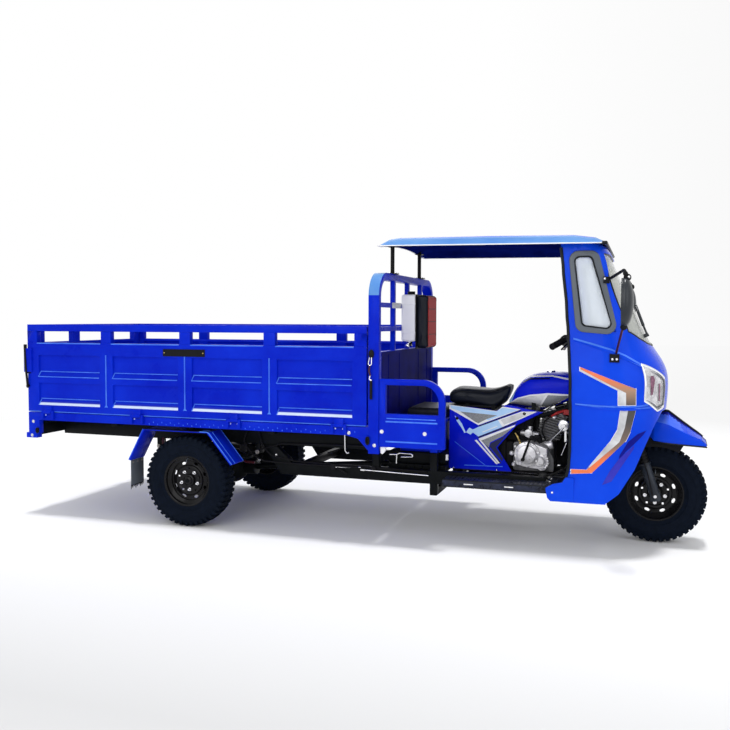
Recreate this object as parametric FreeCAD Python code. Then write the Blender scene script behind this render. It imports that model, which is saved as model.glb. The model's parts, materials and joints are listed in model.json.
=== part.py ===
# Three-wheeled cargo motor tricycle with a half cab, a drop-sided bed and an open engine bay.
# Units are millimetres. +X is forward, +Y is the vehicle's left and +Z is up. The origin is on
# the floor, under the middle of the whole vehicle's length and width.
import FreeCAD, Part
import math
import os

os.makedirs("parts", exist_ok=True)
Vector = FreeCAD.Vector
AXES = {"x": Vector(1, 0, 0), "y": Vector(0, 1, 0), "z": Vector(0, 0, 1)}
SIDES = {"right": -1, "left": 1}

# Running gear
wheelbase = 2815.0
rear_track = 1155.0
tyre_radius = 290.0
tyre_width = 140.0
tyre_shoulder = 22.0
tyre_bead_radius = 154.0
rim_flange_radius = 165.0
rim_seat_width = 112.0
rim_wall = 5.0
rim_disc_wall = 8.0
hub_radius = 42.0
hub_length = 96.0
axle_radius = 12.0
fit_gap = 0.3
running_gap = 0.05
moving_gap = 8.0

# Cargo bed
bed_length = 2410.0
bed_width = 1300.0
bed_rear_overhang = 1200.0
deck_height = 690.0
deck_thickness = 4.0
sill_height = 53.0
sill_width = 40.0
panel_thickness = 40.0
panel_top = 1280.0
top_rail_height = 45.0
slot_height = 76.0
panel_post_width = 76.0
side_bays = 4
tail_bays = 3
panel_foot_rail = 50.0
press_depth = 18.0
press_rows = ((745.0, 890.0), (936.0, 1075.0))
hinge_pin_radius = 5.0
hinge_barrel_radius = 11.0
hinge_ear_radius = 8.0
hinge_offset = 14.0
hinge_barrel_length = 60.0
hinge_ear_length = 18.0
latch_reach = 22.0

# Headboard hoop at the front of the bed
post_depth = 64.0
post_width = 42.0
headboard_gap = 11.0
hoop_top = 1595.0
hoop_corner = 150.0
headboard_bar = 28.0
headboard_bar_heights = (1262.0, 1404.0)
headboard_upright_spacing = 320.0
headboard_sheet_top = 1130.0
headboard_foot = 535.0

# Roof and cab
roof_half_width = 540.0
roof_lip_height = 1752.0
roof_crown = 62.0
roof_thickness = 12.0
roof_lip_depth = 2.0
roof_squareness = 9.0
roof_rear_arch = 24.0
roof_front_drop = 16.0
roof_rear_overhang = 20.0
roof_post_radius = 12.5
cab_wall = 14.0
cab_split = 240.0
glass_thickness = 5.0
glass_inset = 4.0
seal_width = 14.0
glass_half_width = 425.0
glass_bottom = 1168.0
glass_top = roof_lip_height - 64.0

# Lengths measured forward of the rear axle
cab_nose_reach = 2876.0
guard_rear_gap = 2.0
guard_length = 391.0
guard_height = 974.0
guard_bottom = 578.0
footboard_rear = 1630.0
footboard_height = 380.0
shield_x = 2452.0
rail_bottom = 320.0
rail_height = 80.0
rail_width = 50.0
rail_spread = 330.0
rail_rear = 530.0
rail_front = 2210.0
subframe_height = 127.0
subframe_width = 60.0
subframe_spread = 330.0
bearer_height = 24.0
bearer_count = 5
beam_thickness = 30.0
plate_hole_spacing = 120.0
plate_hole_radius = 3.5

# Steering
rake = 18.0
fork_leg_offset = 35.0
fork_spread = 108.0
fork_slider_radius = 25.0
fork_tube_radius = 19.0
head_tube_radius = 30.0
head_bottom = 800.0
head_top = 960.0
stem_radius = 15.0
bar_radius = 11.0
bar_clamp_height = 1105.0
bar_half_width = 370.0
grip_radius = 15.0
grip_length = 118.0

# The origin is halfway between the tail latches and the front tyre.
rear_axle_x = -(wheelbase + tyre_radius - bed_rear_overhang - latch_reach) / 2.0
front_axle_x = rear_axle_x + wheelbase
bed_rear_x = rear_axle_x - bed_rear_overhang
bed_front_x = bed_rear_x + bed_length
head_x = bed_front_x + headboard_gap
head_front_x = head_x + post_depth
guard_x = head_front_x + guard_rear_gap
half_bed = bed_width / 2.0
deck_under = deck_height - deck_thickness
sill_under = deck_height - sill_height
panel_bottom = deck_height + moving_gap
slot_top = panel_top - top_rail_height
slot_low = slot_top - slot_height
beam_x = bed_rear_x + 58.0
beam_low = sill_under - 107.0
hinge_z = deck_height + moving_gap / 2.0
hinge_y = half_bed + hinge_offset


def at_axle(forward):
    """Turn a length measured forward of the rear axle into X."""
    return rear_axle_x + forward


def box(x0, x1, y0, y1, z0, z1):
    return Part.makeBox(x1 - x0, y1 - y0, z1 - z0, Vector(x0, y0, z0))


def rod(start, end, radius):
    """Round bar between two points."""
    a, b = Vector(*start), Vector(*end)
    return Part.makeCylinder(radius, (b - a).Length, a, b - a)


def union(shapes):
    shapes = list(shapes)
    return shapes[0].multiFuse(shapes[1:]).removeSplitter() if len(shapes) > 1 else shapes[0]


def prism(points, axis, low, high):
    """Extrude an outline; points are the two other coordinates in row order."""
    place = {
        "x": lambda a, b: Vector(low, a, b),
        "y": lambda a, b: Vector(a, low, b),
        "z": lambda a, b: Vector(a, b, low),
    }[axis]
    corners = [place(a, b) for a, b in points]
    face = Part.Face(Part.makePolygon(corners + corners[:1]))
    return face.extrude(AXES[axis] * (high - low))


def mirrored(shape):
    return shape.mirror(Vector(0, 0, 0), AXES["y"])


def both_sides(right_shape):
    """A right-hand solid and its left-hand twin, which do not touch."""
    return Part.makeCompound([right_shape, mirrored(right_shape)])


def path_wire(points, bend):
    """Straight runs joined by tangent arcs of one bend radius."""
    spots = [Vector(*p) for p in points]
    edges = []
    last = spots[0]
    for before, corner, after in zip(spots, spots[1:], spots[2:]):
        into = (corner - before).normalize()
        out = (after - corner).normalize()
        turn = into.getAngle(out)
        if turn < 1e-3:
            continue
        reach = bend * math.tan(turn / 2.0)
        start = corner - into * reach
        end = corner + out * reach
        middle = (out - into).normalize()
        waist = corner + middle * (bend / math.cos(turn / 2.0) - bend)
        edges.append(Part.LineSegment(last, start).toShape())
        edges.append(Part.Arc(start, waist, end).toShape())
        last = end
    edges.append(Part.LineSegment(last, spots[-1]).toShape())
    return Part.Wire(edges)


def bent_tube(points, bend, radius):
    """Round bar that follows a path with bent corners."""
    path = path_wire(points, bend)
    start, following = Vector(*points[0]), Vector(*points[1])
    ring = Part.Wire(Part.makeCircle(radius, start, following - start))
    return path.makePipeShell([ring], True, True)


def turned(profile, centre):
    """Revolve a closed outline of (radius, y) points about a wheel's axle."""
    cx, cy, cz = centre
    corners = [Vector(cx + r, cy + y, cz) for r, y in profile]
    face = Part.Face(Part.makePolygon(corners + corners[:1]))
    return face.revolve(Vector(cx, cy, cz), AXES["y"], 360)


def smooth_edge(points):
    curve = Part.BSplineCurve()
    curve.interpolate(points)
    return curve.toShape()


def rounded_section(x, low, high, half, power, grow=0.0, steps=24):
    """Closed rounded outline across the vehicle, between two heights."""
    middle = (low + high) / 2.0
    rise = (high - low) / 2.0 + grow
    points = []
    for step in range(steps):
        turn = 2.0 * math.pi * step / steps
        c, s = math.cos(turn), math.sin(turn)
        y = (half + grow) * math.copysign(abs(c) ** (2.0 / power), c)
        z = middle + rise * math.copysign(abs(s) ** (2.0 / power), s)
        points.append(Vector(x, y, z))
    curve = Part.BSplineCurve()
    curve.interpolate(points, PeriodicFlag=True)
    return Part.Wire([curve.toShape()])


def rounded_loft(sections, power, grow=0.0):
    """Solid through rounded sections of (length ahead of the rear axle, low, high, half width)."""
    wires = [rounded_section(at_axle(x), low, high, half, power, grow) for x, low, high, half in sections]
    return Part.makeLoft(wires, True, False)


# Wheels
def tyre(centre):
    half = tyre_width / 2.0
    seat = rim_seat_width / 2.0
    bead = tyre_bead_radius + fit_gap
    belly = (tyre_radius + tyre_bead_radius) / 2.0
    profile = [
        (bead, -seat + rim_wall + fit_gap),
        (rim_flange_radius + fit_gap, -seat + rim_wall + fit_gap),
        (rim_flange_radius + fit_gap, -seat - fit_gap),
        (belly, -half),
        (tyre_radius - tyre_shoulder, -half + 4.0),
        (tyre_radius, -half + tyre_shoulder),
        (tyre_radius, half - tyre_shoulder),
        (tyre_radius - tyre_shoulder, half - 4.0),
        (belly, half),
        (rim_flange_radius + fit_gap, seat + fit_gap),
        (rim_flange_radius + fit_gap, seat - rim_wall - fit_gap),
        (bead, seat - rim_wall - fit_gap),
    ]
    return turned(profile, centre)


def rim(centre, bore):
    """Pressed steel wheel: drop-centre rim, dished disc and hub."""
    cx, cy, cz = centre
    seat = rim_seat_width / 2.0
    well = tyre_bead_radius - 24.0
    outer = [
        (rim_flange_radius, -seat),
        (rim_flange_radius, -seat + rim_wall),
        (tyre_bead_radius, -seat + rim_wall),
        (tyre_bead_radius, -seat + 26.0),
        (well, -seat + 40.0),
        (well, seat - 40.0),
        (tyre_bead_radius, seat - 26.0),
        (tyre_bead_radius, seat - rim_wall),
        (rim_flange_radius, seat - rim_wall),
        (rim_flange_radius, seat),
        (tyre_bead_radius - rim_wall, seat),
        (tyre_bead_radius - rim_wall, seat - 26.0),
        (well - rim_wall, seat - 42.0),
        (well - rim_wall, -seat + 42.0),
        (tyre_bead_radius - rim_wall, -seat + 26.0),
        (tyre_bead_radius - rim_wall, -seat),
    ]
    band = turned(outer, centre)
    disc = rod((cx, cy - rim_disc_wall / 2.0, cz), (cx, cy + rim_disc_wall / 2.0, cz), well - 2.0)
    hub = rod((cx, cy - hub_length / 2.0, cz), (cx, cy + hub_length / 2.0, cz), hub_radius)
    wheel = union([band, disc, hub])
    wheel = wheel.cut(rod((cx, cy - hub_length, cz), (cx, cy + hub_length, cz), bore))
    holes = []
    for step in range(8):
        angle = math.radians(45.0 * step + 22.5)
        hx = cx + 92.0 * math.cos(angle)
        hz = cz + 92.0 * math.sin(angle)
        holes.append(rod((hx, cy - rim_disc_wall, hz), (hx, cy + rim_disc_wall, hz), 12.0))
    return wheel.cut(Part.makeCompound(holes))


front_centre = (front_axle_x, 0.0, tyre_radius)
rear_centres = {side: (rear_axle_x, sign * rear_track / 2.0, tyre_radius) for side, sign in SIDES.items()}


# Rear axle and springs
crankcase_rear = 1990.0
axle_tube_radius = 36.0
drum_radius = 110.0
drum_width = 56.0
drum_gap = 10.0
spring_width = 60.0
spring_half_length = 385.0
spring_leaf = 11.0
spring_leaves = 4
spring_rise = 96.0


def rear_axle():
    x, z = rear_axle_x, tyre_radius
    drum_outer = rear_track / 2.0 - hub_length / 2.0 - drum_gap
    drum_inner = drum_outer - drum_width
    shapes = [rod((x, -drum_outer, z), (x, drum_outer, z), axle_tube_radius)]
    shapes.append(Part.makeSphere(120.0, Vector(x, 0, z)))
    shapes.append(rod((x, 0, z), (x + 190.0, 0, z), 55.0))
    shapes.append(rod((x + 190.0, 0, z), (at_axle(crankcase_rear) - 2.0, 0, 436.0), 20.0))
    for sign in SIDES.values():
        shapes.append(rod((x, sign * drum_inner, z), (x, sign * drum_outer, z), drum_radius))
        end = sign * (rear_track / 2.0 + hub_length / 2.0 + 6.0)
        shapes.append(rod((x, sign * drum_outer, z), (x, end, z), axle_radius))
    return union(shapes)


def leaf_springs():
    """Semi-elliptic leaf packs on top of the axle, hung from brackets under the subframe."""
    x = rear_axle_x
    seat = tyre_radius + axle_tube_radius + fit_gap
    y0 = -subframe_spread - spring_width / 2.0
    y1 = -subframe_spread + spring_width / 2.0
    shapes = [box(x - 62.0, x + 62.0, y0 - 4.0, y1 + 4.0, seat, seat + spring_leaf * spring_leaves + 10.0)]
    for leaf in range(spring_leaves):
        floor = seat + spring_leaf * leaf
        steps = 10 - 2 * (spring_leaves - 1 - leaf)
        spots = [spring_half_length * step / 10.0 for step in range(-steps, steps + 1)]
        low = [(x + dx, floor + spring_rise * (dx / spring_half_length) ** 2) for dx in spots]
        high = [(a, b + spring_leaf) for a, b in reversed(low)]
        shapes.append(prism(low + high, "y", y0, y1))
    top = seat + spring_leaf * (spring_leaves - 1) + spring_rise
    for sign in (-1, 1):
        hx = x + sign * (spring_half_length - 16.0)
        shapes.append(box(hx - 16.0, hx + 16.0, y0, y1, top - 6.0, subframe_under))
        shapes.append(rod((hx, y0 - 8.0, top + 2.0), (hx, y1 + 8.0, top + 2.0), 15.0))
    return both_sides(union(shapes))


# Chassis
cover_inside = 155.0
cover_thickness = 20.0
tube_width = 45.0
platform_length = 300.0
platform_lip = 22.0
upright_reach = head_front_x - rear_axle_x + platform_length - platform_lip - tube_width
cross_tubes = (
    (650.0, 352.0, 400.0), (1100.0, 320.0, 342.0), (upright_reach, 250.0, 295.0),
    (upright_reach + 82.0, 320.0, 342.0), (2160.0, 345.0, 400.0),
)
down_tube_radius = 24.0


def down_tube_path():
    low = rail_bottom + 50.0
    return [(at_axle(cross_tubes[4][0]) + tube_width, 0, low), (at_axle(2300.0), 0, low), head_point(head_top - 40.0)]


rail_inner = rail_spread - rail_width / 2.0
rail_outer = rail_spread + rail_width / 2.0
rail_top = rail_bottom + rail_height
subframe_under = sill_under - subframe_height


def chassis_rails():
    """Two low side rails, each with its rise to the bed and two uprights."""
    z0, z1 = rail_bottom, rail_top
    rear, front = at_axle(rail_rear), at_axle(rail_front)
    shapes = [box(rear, front, -rail_outer, -rail_inner, z0, z1)]
    rise = [
        (rear, z0), (rear + 120.0, z0), (rear + 60.0, z1 + 20.0),
        (rear - 40.0, subframe_under), (rear - 130.0, subframe_under),
    ]
    shapes.append(prism(rise, "y", -rail_outer, -rail_inner))
    for forward in (1150.0, upright_reach):
        shapes.append(box(at_axle(forward), at_axle(forward) + tube_width, -rail_outer, -rail_inner, z1, subframe_under))
    front_upright = at_axle(upright_reach)
    shapes.append(box(front_upright, front_upright + tube_width, -rail_outer, -rail_inner, 250.0, z0))
    return both_sides(union(shapes))


def chassis_cross_tubes():
    """Square tubes between the two rails."""
    tubes = []
    for forward, low, high in cross_tubes:
        tubes.append(box(at_axle(forward), at_axle(forward) + tube_width, -rail_inner, rail_inner, low, high))
    return Part.makeCompound(tubes)


def battery_box():
    """Closed box hung under the platform's tool box, over the propeller shaft."""
    x0, x1 = at_axle(1150.0) + tube_width + 40.0, at_axle(upright_reach) - 6.0
    return box(x0, x1, -280.0, 280.0, 426.0, 500.0 - fit_gap)


def main_frame():
    """Twin seat tubes, saddle plates and down tube, gathered at the head tube."""
    neck = head_point(head_top - 40.0)
    seat_foot, _, seat_low = cross_tubes[3]
    seat_foot = at_axle(seat_foot) + tube_width / 2.0
    shapes = []
    for sign in SIDES.values():
        seat_tube = [
            (seat_foot, sign * 120.0, seat_low), (seat_foot, sign * 120.0, 708.0),
            (at_axle(2160.0), sign * 106.0, 735.0), (neck[0] + 12.0, sign * 20.0, 880.0),
        ]
        shapes.append(bent_tube(seat_tube, 60.0, 14.0))
        for forward, height in ((1660.0, 709.0), (2059.0, 730.0)):
            spot = at_axle(forward)
            boss_end = sign * (cover_inside - fit_gap)
            shapes.append(rod((spot, sign * 108.0, height), (spot, boss_end, height), 9.0))
    shapes.append(bent_tube(down_tube_path(), 60.0, down_tube_radius))
    shapes += saddle_mounts()
    bore = rod(head_point(head_bottom - 20.0), head_point(head_top + 20.0), stem_radius + running_gap)
    head = rod(head_point(head_bottom), head_point(head_top), head_tube_radius).cut(bore)
    return head.multiFuse([shape.cut(bore) for shape in shapes])


def leg_point(z):
    """Where the fork legs' middle line is at a height."""
    return (front_axle_x - math.tan(math.radians(rake)) * (z - tyre_radius), 0.0, z)


def head_point(z):
    """Where the steering axis is at a height."""
    return (leg_point(z)[0] - fork_leg_offset / math.cos(math.radians(rake)), 0.0, z)


def subframe_rails():
    """Two deep rails under the bed's bearers, with a cross beam over their rear ends."""
    y0 = -subframe_spread - subframe_width / 2.0
    rail = box(beam_x, head_x, y0, y0 + subframe_width, subframe_under, sill_under - bearer_height)
    beam = box(beam_x - beam_thickness, beam_x, -half_bed + 50.0, half_bed - 50.0, beam_low, sill_under)
    return Part.makeCompound([rail, mirrored(rail), beam])


def subframe_bearers():
    """Cross bearers between the rails and the bed."""
    bearers = []
    reach = half_bed - 50.0
    for step in range(bearer_count):
        bx = bed_rear_x + 80.0 + step * (head_x - bed_rear_x - 160.0) / (bearer_count - 1)
        bearers.append(box(bx - 22.0, bx + 22.0, -reach, reach, sill_under - bearer_height, sill_under))
    return Part.makeCompound(bearers)


def hinge_stations(length, count, margin):
    """Middles of the hinges along an edge."""
    pitch = (length - 2.0 * margin) / (count - 1)
    return [margin + step * pitch for step in range(count)]


side_hinges = [bed_rear_x + s for s in hinge_stations(bed_length, 4, 168.0)]
tail_hinges = [-half_bed + s for s in hinge_stations(bed_width, 2, 260.0)]
tail_hinge_x = bed_rear_x - hinge_offset


def bed_deck():
    return box(bed_rear_x, head_x, -half_bed, half_bed, deck_under, deck_height)


def pin_and_ears(station, across, axis):
    """Fixed pin of one hinge with the round ears that hold its ends."""
    reach = hinge_barrel_length / 2.0
    tip = reach + hinge_ear_length
    place = {
        "x": lambda along: (station + along, across, hinge_z),
        "y": lambda along: (across, station + along, hinge_z),
    }[axis]
    shapes = [rod(place(-tip), place(tip), hinge_pin_radius)]
    for end in (-1, 1):
        shapes.append(rod(place(end * (reach + 1.0)), place(end * tip), hinge_ear_radius))
    return shapes


def bed_sills():
    """Folded sills round the deck with rear corner legs, the hinges' fixed ears and pins, and a number plate bracket."""
    z0, z1 = sill_under, deck_under
    reach = hinge_barrel_length / 2.0
    inner = half_bed - sill_width - fit_gap
    side = [
        box(bed_rear_x, head_x, -half_bed, -half_bed + sill_width, z0, z1),
        box(bed_rear_x, bed_rear_x + 86.0, -half_bed, -half_bed + sill_width, z0 - 90.0, z0),
        box(bed_rear_x - 20.0, bed_rear_x + 66.0, -half_bed, -half_bed + sill_width + 9.0, z0 - 122.0, z0 - 88.0),
    ]
    for hx in side_hinges:
        for end in (-1, 1):
            x0, x1 = sorted((hx + end * (reach + 1.0), hx + end * (reach + hinge_ear_length)))
            side.append(box(x0, x1, -hinge_y - hinge_ear_radius, -half_bed, z0 + 10.0, deck_height))
        side += pin_and_ears(hx, -hinge_y, "x")
    rear = [box(bed_rear_x, bed_rear_x + sill_width, -inner, inner, z0, z1)]
    for hy in tail_hinges:
        for end in (-1, 1):
            y0, y1 = sorted((hy + end * (reach + 1.0), hy + end * (reach + hinge_ear_length)))
            rear.append(box(tail_hinge_x - hinge_ear_radius, bed_rear_x, y0, y1, z0 + 10.0, deck_height))
        rear += pin_and_ears(hy, tail_hinge_x, "y")
    rear.append(box(bed_rear_x + 2.0, bed_rear_x + 5.0, -110.0, 110.0, z0 - 120.0, z0))
    holes = []
    for sign in SIDES.values():
        y = sign * plate_hole_spacing / 2.0
        holes.append(rod((bed_rear_x, y, z0 - 30.0), (bed_rear_x + 8.0, y, z0 - 30.0), plate_hole_radius))
    front = box(head_x - sill_width, head_x, -inner, inner, z0, z1)
    side = union(side)
    return Part.makeCompound([side, mirrored(side), union(rear).cut(Part.makeCompound(holes)), front])


def slatted_panel(length, bays):
    """Drop panel standing on its edge: a framed, pressed sheet up to the foot of the open slots.

    It runs from 0 to length along X, its outer face is at Y = 0 and its inner face is behind.
    """
    t = panel_thickness
    z0 = panel_bottom
    body = box(0, length, 0, t, z0, slot_low)
    pitch = (length - panel_post_width) / bays
    cuts = []
    for bay in range(bays):
        x0 = bay * pitch + panel_post_width
        x1 = (bay + 1) * pitch
        for low, high in press_rows:
            press = [
                (-1.0, low - 6.0),
                (press_depth, low + 24.0),
                (press_depth, high),
                (-1.0, high),
            ]
            cuts.append(prism(press, "x", x0 + 12.0, x1 - 12.0))
        cuts.append(box(x0, x1, t - 16.0, t + 1, z0 + panel_foot_rail, slot_low - 20.0))
    return body.cut(Part.makeCompound(cuts))


def slatted_top(length, bays):
    """The posts between the slots and the top rail on them, each a plain block."""
    t = panel_thickness
    pitch = (length - panel_post_width) / bays
    posts = [box(bay * pitch, bay * pitch + panel_post_width, 0, t, slot_low, slot_top) for bay in range(bays + 1)]
    return posts + [box(0, length, 0, t, slot_top, panel_top)]


def hinge_barrels_x(stations, y, sign):
    """Moving barrels round the side pins, with a leaf up the outer face of the panel."""
    shapes = []
    reach = hinge_barrel_length / 2.0 - 1.0
    for hx in stations:
        barrel = rod((hx - reach, y, hinge_z), (hx + reach, y, hinge_z), hinge_barrel_radius)
        y0, y1 = sorted((sign * half_bed, y))
        leaf = box(hx - reach, hx + reach, y0, y1, hinge_z, hinge_z + 40.0)
        barrel = union([barrel, leaf])
        shapes.append(barrel.cut(rod((hx - reach - 1, y, hinge_z), (hx + reach + 1, y, hinge_z), hinge_pin_radius + running_gap)))
    return shapes


def side_panel(sign):
    panel = slatted_panel(bed_length, side_bays)
    panel.translate(Vector(bed_rear_x, -half_bed, 0))
    if sign > 0:
        panel = mirrored(panel)
    shapes = [panel] + hinge_barrels_x(side_hinges, sign * hinge_y, sign)
    y0, y1 = sorted((sign * half_bed, sign * (half_bed + 12.0)))
    shapes.append(box(bed_rear_x - latch_reach, bed_rear_x + 40.0, y0, y1, 960.0, 1120.0))
    return union(shapes)


def side_rail(sign):
    top = Part.makeCompound(slatted_top(bed_length, side_bays))
    top.translate(Vector(bed_rear_x, -half_bed, 0))
    return mirrored(top) if sign > 0 else top


def tailgate():
    clear = panel_thickness + moving_gap
    length = bed_width - 2.0 * clear
    panel = union([slatted_panel(length, tail_bays)] + slatted_top(length, tail_bays))
    panel.rotate(Vector(0, 0, 0), AXES["z"], -90)
    panel.translate(Vector(bed_rear_x, length / 2.0, 0))
    shapes = [panel]
    reach = hinge_barrel_length / 2.0 - 1.0
    for hy in tail_hinges:
        barrel = rod((tail_hinge_x, hy - reach, hinge_z), (tail_hinge_x, hy + reach, hinge_z), hinge_barrel_radius - 3.0)
        leaf = box(tail_hinge_x, bed_rear_x, hy - reach, hy + reach, hinge_z, hinge_z + 40.0)
        barrel = union([barrel, leaf])
        pin = rod((tail_hinge_x, hy - reach - 1, hinge_z), (tail_hinge_x, hy + reach + 1, hinge_z), hinge_pin_radius + running_gap)
        shapes.append(barrel.cut(pin))
    return union(shapes)


def headboard():
    """Hoop of flat-sided tube with bars, uprights, a lower sheet and two feet."""
    x0, x1 = head_x, head_front_x
    w = half_bed
    outer = Part.makeBox(post_depth, bed_width, hoop_top - headboard_foot, Vector(x0, -w, headboard_foot))
    top_edges = [e for e in outer.Edges if all(abs(v.Z - hoop_top) < 1e-6 for v in e.Vertexes)
                 and abs(e.Vertexes[0].Y - e.Vertexes[1].Y) < 1e-6]
    outer = outer.makeFillet(hoop_corner, top_edges)
    inner = Part.makeBox(post_depth + 2, bed_width - 2 * post_width, hoop_top - post_width - headboard_foot + 10,
                         Vector(x0 - 1, -w + post_width, headboard_foot - 10))
    inner_top = hoop_top - post_width
    inner_edges = [e for e in inner.Edges if all(abs(v.Z - inner_top) < 1e-6 for v in e.Vertexes)
                   and abs(e.Vertexes[0].Y - e.Vertexes[1].Y) < 1e-6]
    inner = inner.makeFillet(hoop_corner - post_width, inner_edges)
    shapes = [outer.cut(inner)]
    bx0, bx1 = x1 - headboard_bar, x1
    for z in headboard_bar_heights:
        shapes.append(box(bx0, bx1, -w + post_width, w - post_width, z - headboard_bar / 2.0, z + headboard_bar / 2.0))
    for step in (-1, 0, 1):
        y = step * headboard_upright_spacing
        shapes.append(box(bx0, bx1, y - headboard_bar / 2.0, y + headboard_bar / 2.0, headboard_sheet_top, inner_top))
    shapes.append(box(bx0, bx1, -w + post_width, w - post_width, sill_under - 20.0, headboard_sheet_top))
    return union(shapes)


def seat_guards():
    """Low side walls behind the rider: a bent rail over a sheet, with a window."""
    x0, x1 = guard_x, guard_x + guard_length
    profile = box(x0, x1, -half_bed, -half_bed + 34.0, guard_bottom, guard_height)
    corner = [e for e in profile.Edges if all(abs(v.X - x1) < 1e-6 and abs(v.Z - guard_height) < 1e-6 for v in e.Vertexes)]
    profile = profile.makeFillet(130.0, corner)
    hole = box(x0 + 38.0, x1 - 38.0, -half_bed - 1, -half_bed + 35.0, 773.0, guard_height - 34.0)
    hole_corner = [e for e in hole.Edges
                   if all(abs(v.X - (x1 - 38.0)) < 1e-6 and abs(v.Z - guard_height + 34.0) < 1e-6 for v in e.Vertexes)]
    hole = hole.makeFillet(96.0, hole_corner)
    return both_sides(profile.cut(hole))


platform_height = 700.0


def rear_platform():
    """Raised floor and tool box between the headboard and the seat."""
    x0, x1 = head_front_x + fit_gap, head_front_x + platform_length
    w = half_bed - 34.0 - fit_gap
    top = box(x0, x1, -w, w, platform_height - 20.0, platform_height)
    well = box(x0 + 20.0, x1 - 20.0, -260.0, 260.0, 500.0, platform_height - 20.0)
    legs = []
    leg_x = at_axle(upright_reach)
    for sign in SIDES.values():
        y0, y1 = sorted((sign * (rail_spread - 20.0), sign * (rail_spread + 20.0)))
        legs.append(box(leg_x, leg_x + tube_width, y0, y1, subframe_under + fit_gap, platform_height - 20.0))
    return union([top, well] + legs)


def deck_cushion():
    cushion = box(head_front_x + 40.0, head_front_x + platform_length - 10.0, -210.0, 210.0, platform_height + fit_gap, platform_height + 66.0)
    return cushion.makeFillet(24.0, [e for e in cushion.Edges if all(v.Z > platform_height + 60.0 for v in e.Vertexes)])


tank_thickness = 95.0
backrest_thickness = 78.0
backrest_left = 60.0


def water_tank():
    x0 = head_front_x + fit_gap
    tank = box(x0, x0 + tank_thickness, -190.0, 130.0, 1180.0, 1475.0)
    tank = tank.makeFillet(14.0, tank.Edges)
    cap = rod((x0 + 48.0, -120.0, 1470.0), (x0 + 48.0, -120.0, 1496.0), 24.0)
    tap = rod((x0 + 48.0, -150.0, 1150.0), (x0 + 48.0, -150.0, 1190.0), 14.0)
    return union([tank, cap, tap])


def backrest():
    x0 = head_front_x + tank_thickness + 2.0 * fit_gap
    pad = box(x0, x0 + backrest_thickness, -200.0, backrest_left, 1130.0, 1480.0)
    return pad.makeFillet(20.0, pad.Edges)


def roof_posts():
    """Two posts from the hoop up to the inside of the roof."""
    y = -headboard_upright_spacing
    x = head_x + post_depth - 18.0
    return under_roof(both_sides(rod((x, y, hoop_top), (x, y, roof_lip_height + 2.0 * roof_crown), roof_post_radius)))


# Cab shell
def cab_sections():
    """Height, rear edge, half width, start of the corner, nose, and how square the corner is."""
    return [
        (300.0, 2252.0, 508.0, 2440.0, 2850.0, 2.8),
        (420.0, 2330.0, 500.0, 2440.0, 2856.0, 2.8),
        (560.0, 2353.0, 500.0, 2440.0, 2862.0, 2.8),
        (780.0, 2353.0, 500.0, 2440.0, 2867.0, 2.8),
        (926.0, 2352.0, 500.0, 2440.0, cab_nose_reach, 2.8),
        (1040.0, 2348.0, 497.0, 2445.0, 2861.0, 2.8),
        (1100.0, 2345.0, 492.0, 2450.0, 2830.0, 2.8),
        (1160.0, 2341.0, 487.0, 2455.0, 2790.0, 2.9),
        (1250.0, 2334.0, 480.0, 2460.0, 2744.0, 3.2),
        (1400.0, 2322.0, 470.0, 2430.0, 2674.0, 3.6),
        (1560.0, 2306.0, 463.0, 2400.0, 2600.0, 4.2),
        (roof_lip_height - 17.0, 2288.0, 456.0, 2380.0, 2522.0, 5.0),
        (roof_lip_height + roof_crown + 16.0, 2278.0, 452.0, 2370.0, 2478.0, 5.0),
    ]


def cab_outline(section, inset, steps=20):
    """Points round the cab in plan, from its right rear edge past the nose to its left rear edge."""
    z, rear, half, corner, nose, power = section
    half -= inset
    nose -= inset
    points = [(rear, -half), ((rear + corner) / 2.0, -half)]
    for step in range(steps + 1):
        swing = math.pi * step / steps
        y = -half * math.cos(swing)
        bulge = (1.0 - min(1.0, abs(y) / half) ** power) ** (1.0 / power)
        points.append((corner + (nose - corner) * bulge, y))
    points += [((rear + corner) / 2.0, half), (rear, half)]
    return [Vector(at_axle(x), y, z) for x, y in points]


def cab_shell():
    """The whole cab wall as one loft of horseshoe sections."""
    wires = []
    for section in cab_sections():
        outer = cab_outline(section, 0.0)
        inner = cab_outline(section, cab_wall)
        inner.reverse()
        edges = [
            smooth_edge(outer),
            Part.LineSegment(outer[-1], inner[0]).toShape(),
            smooth_edge(inner),
            Part.LineSegment(inner[-1], outer[0]).toShape(),
        ]
        wires.append(Part.Wire(edges))
    return Part.makeLoft(wires, True, False)


def cab_solid(inset):
    """The cab's outer form, filled, smaller by an inset."""
    wires = []
    for section in cab_sections():
        points = cab_outline(section, inset)
        wires.append(Part.Wire([smooth_edge(points), Part.LineSegment(points[-1], points[0]).toShape()]))
    return Part.makeLoft(wires, True, False)


def arch_cut():
    """Everything ahead of and below the front edge of the apron."""
    points = [
        (2552.0, 280.0), (2552.0, 305.0), (2620.0, 360.0), (2700.0, 490.0), (2748.0, 610.0),
        (2800.0, 730.0), (2842.0, 806.0), (3000.0, 812.0), (3000.0, 280.0),
    ]
    return prism([(at_axle(x), z) for x, z in points], "y", -700.0, 700.0)


def window_outline():
    return [(2345.0, glass_top - 2.0), (2474.0, glass_top - 2.0), (2592.0, 1250.0), (2394.0, 1270.0)]


def side_window_prism(grow, y0, y1):
    """The side window's outline, made larger or smaller all round."""
    points = window_outline()
    cx = sum(p[0] for p in points) / len(points)
    cz = sum(p[1] for p in points) / len(points)
    moved = []
    for x, z in points:
        moved.append((at_axle(x + grow * math.copysign(1.0, x - cx)), z + grow * math.copysign(1.0, z - cz)))
    return prism(moved, "y", y0, y1)


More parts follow.
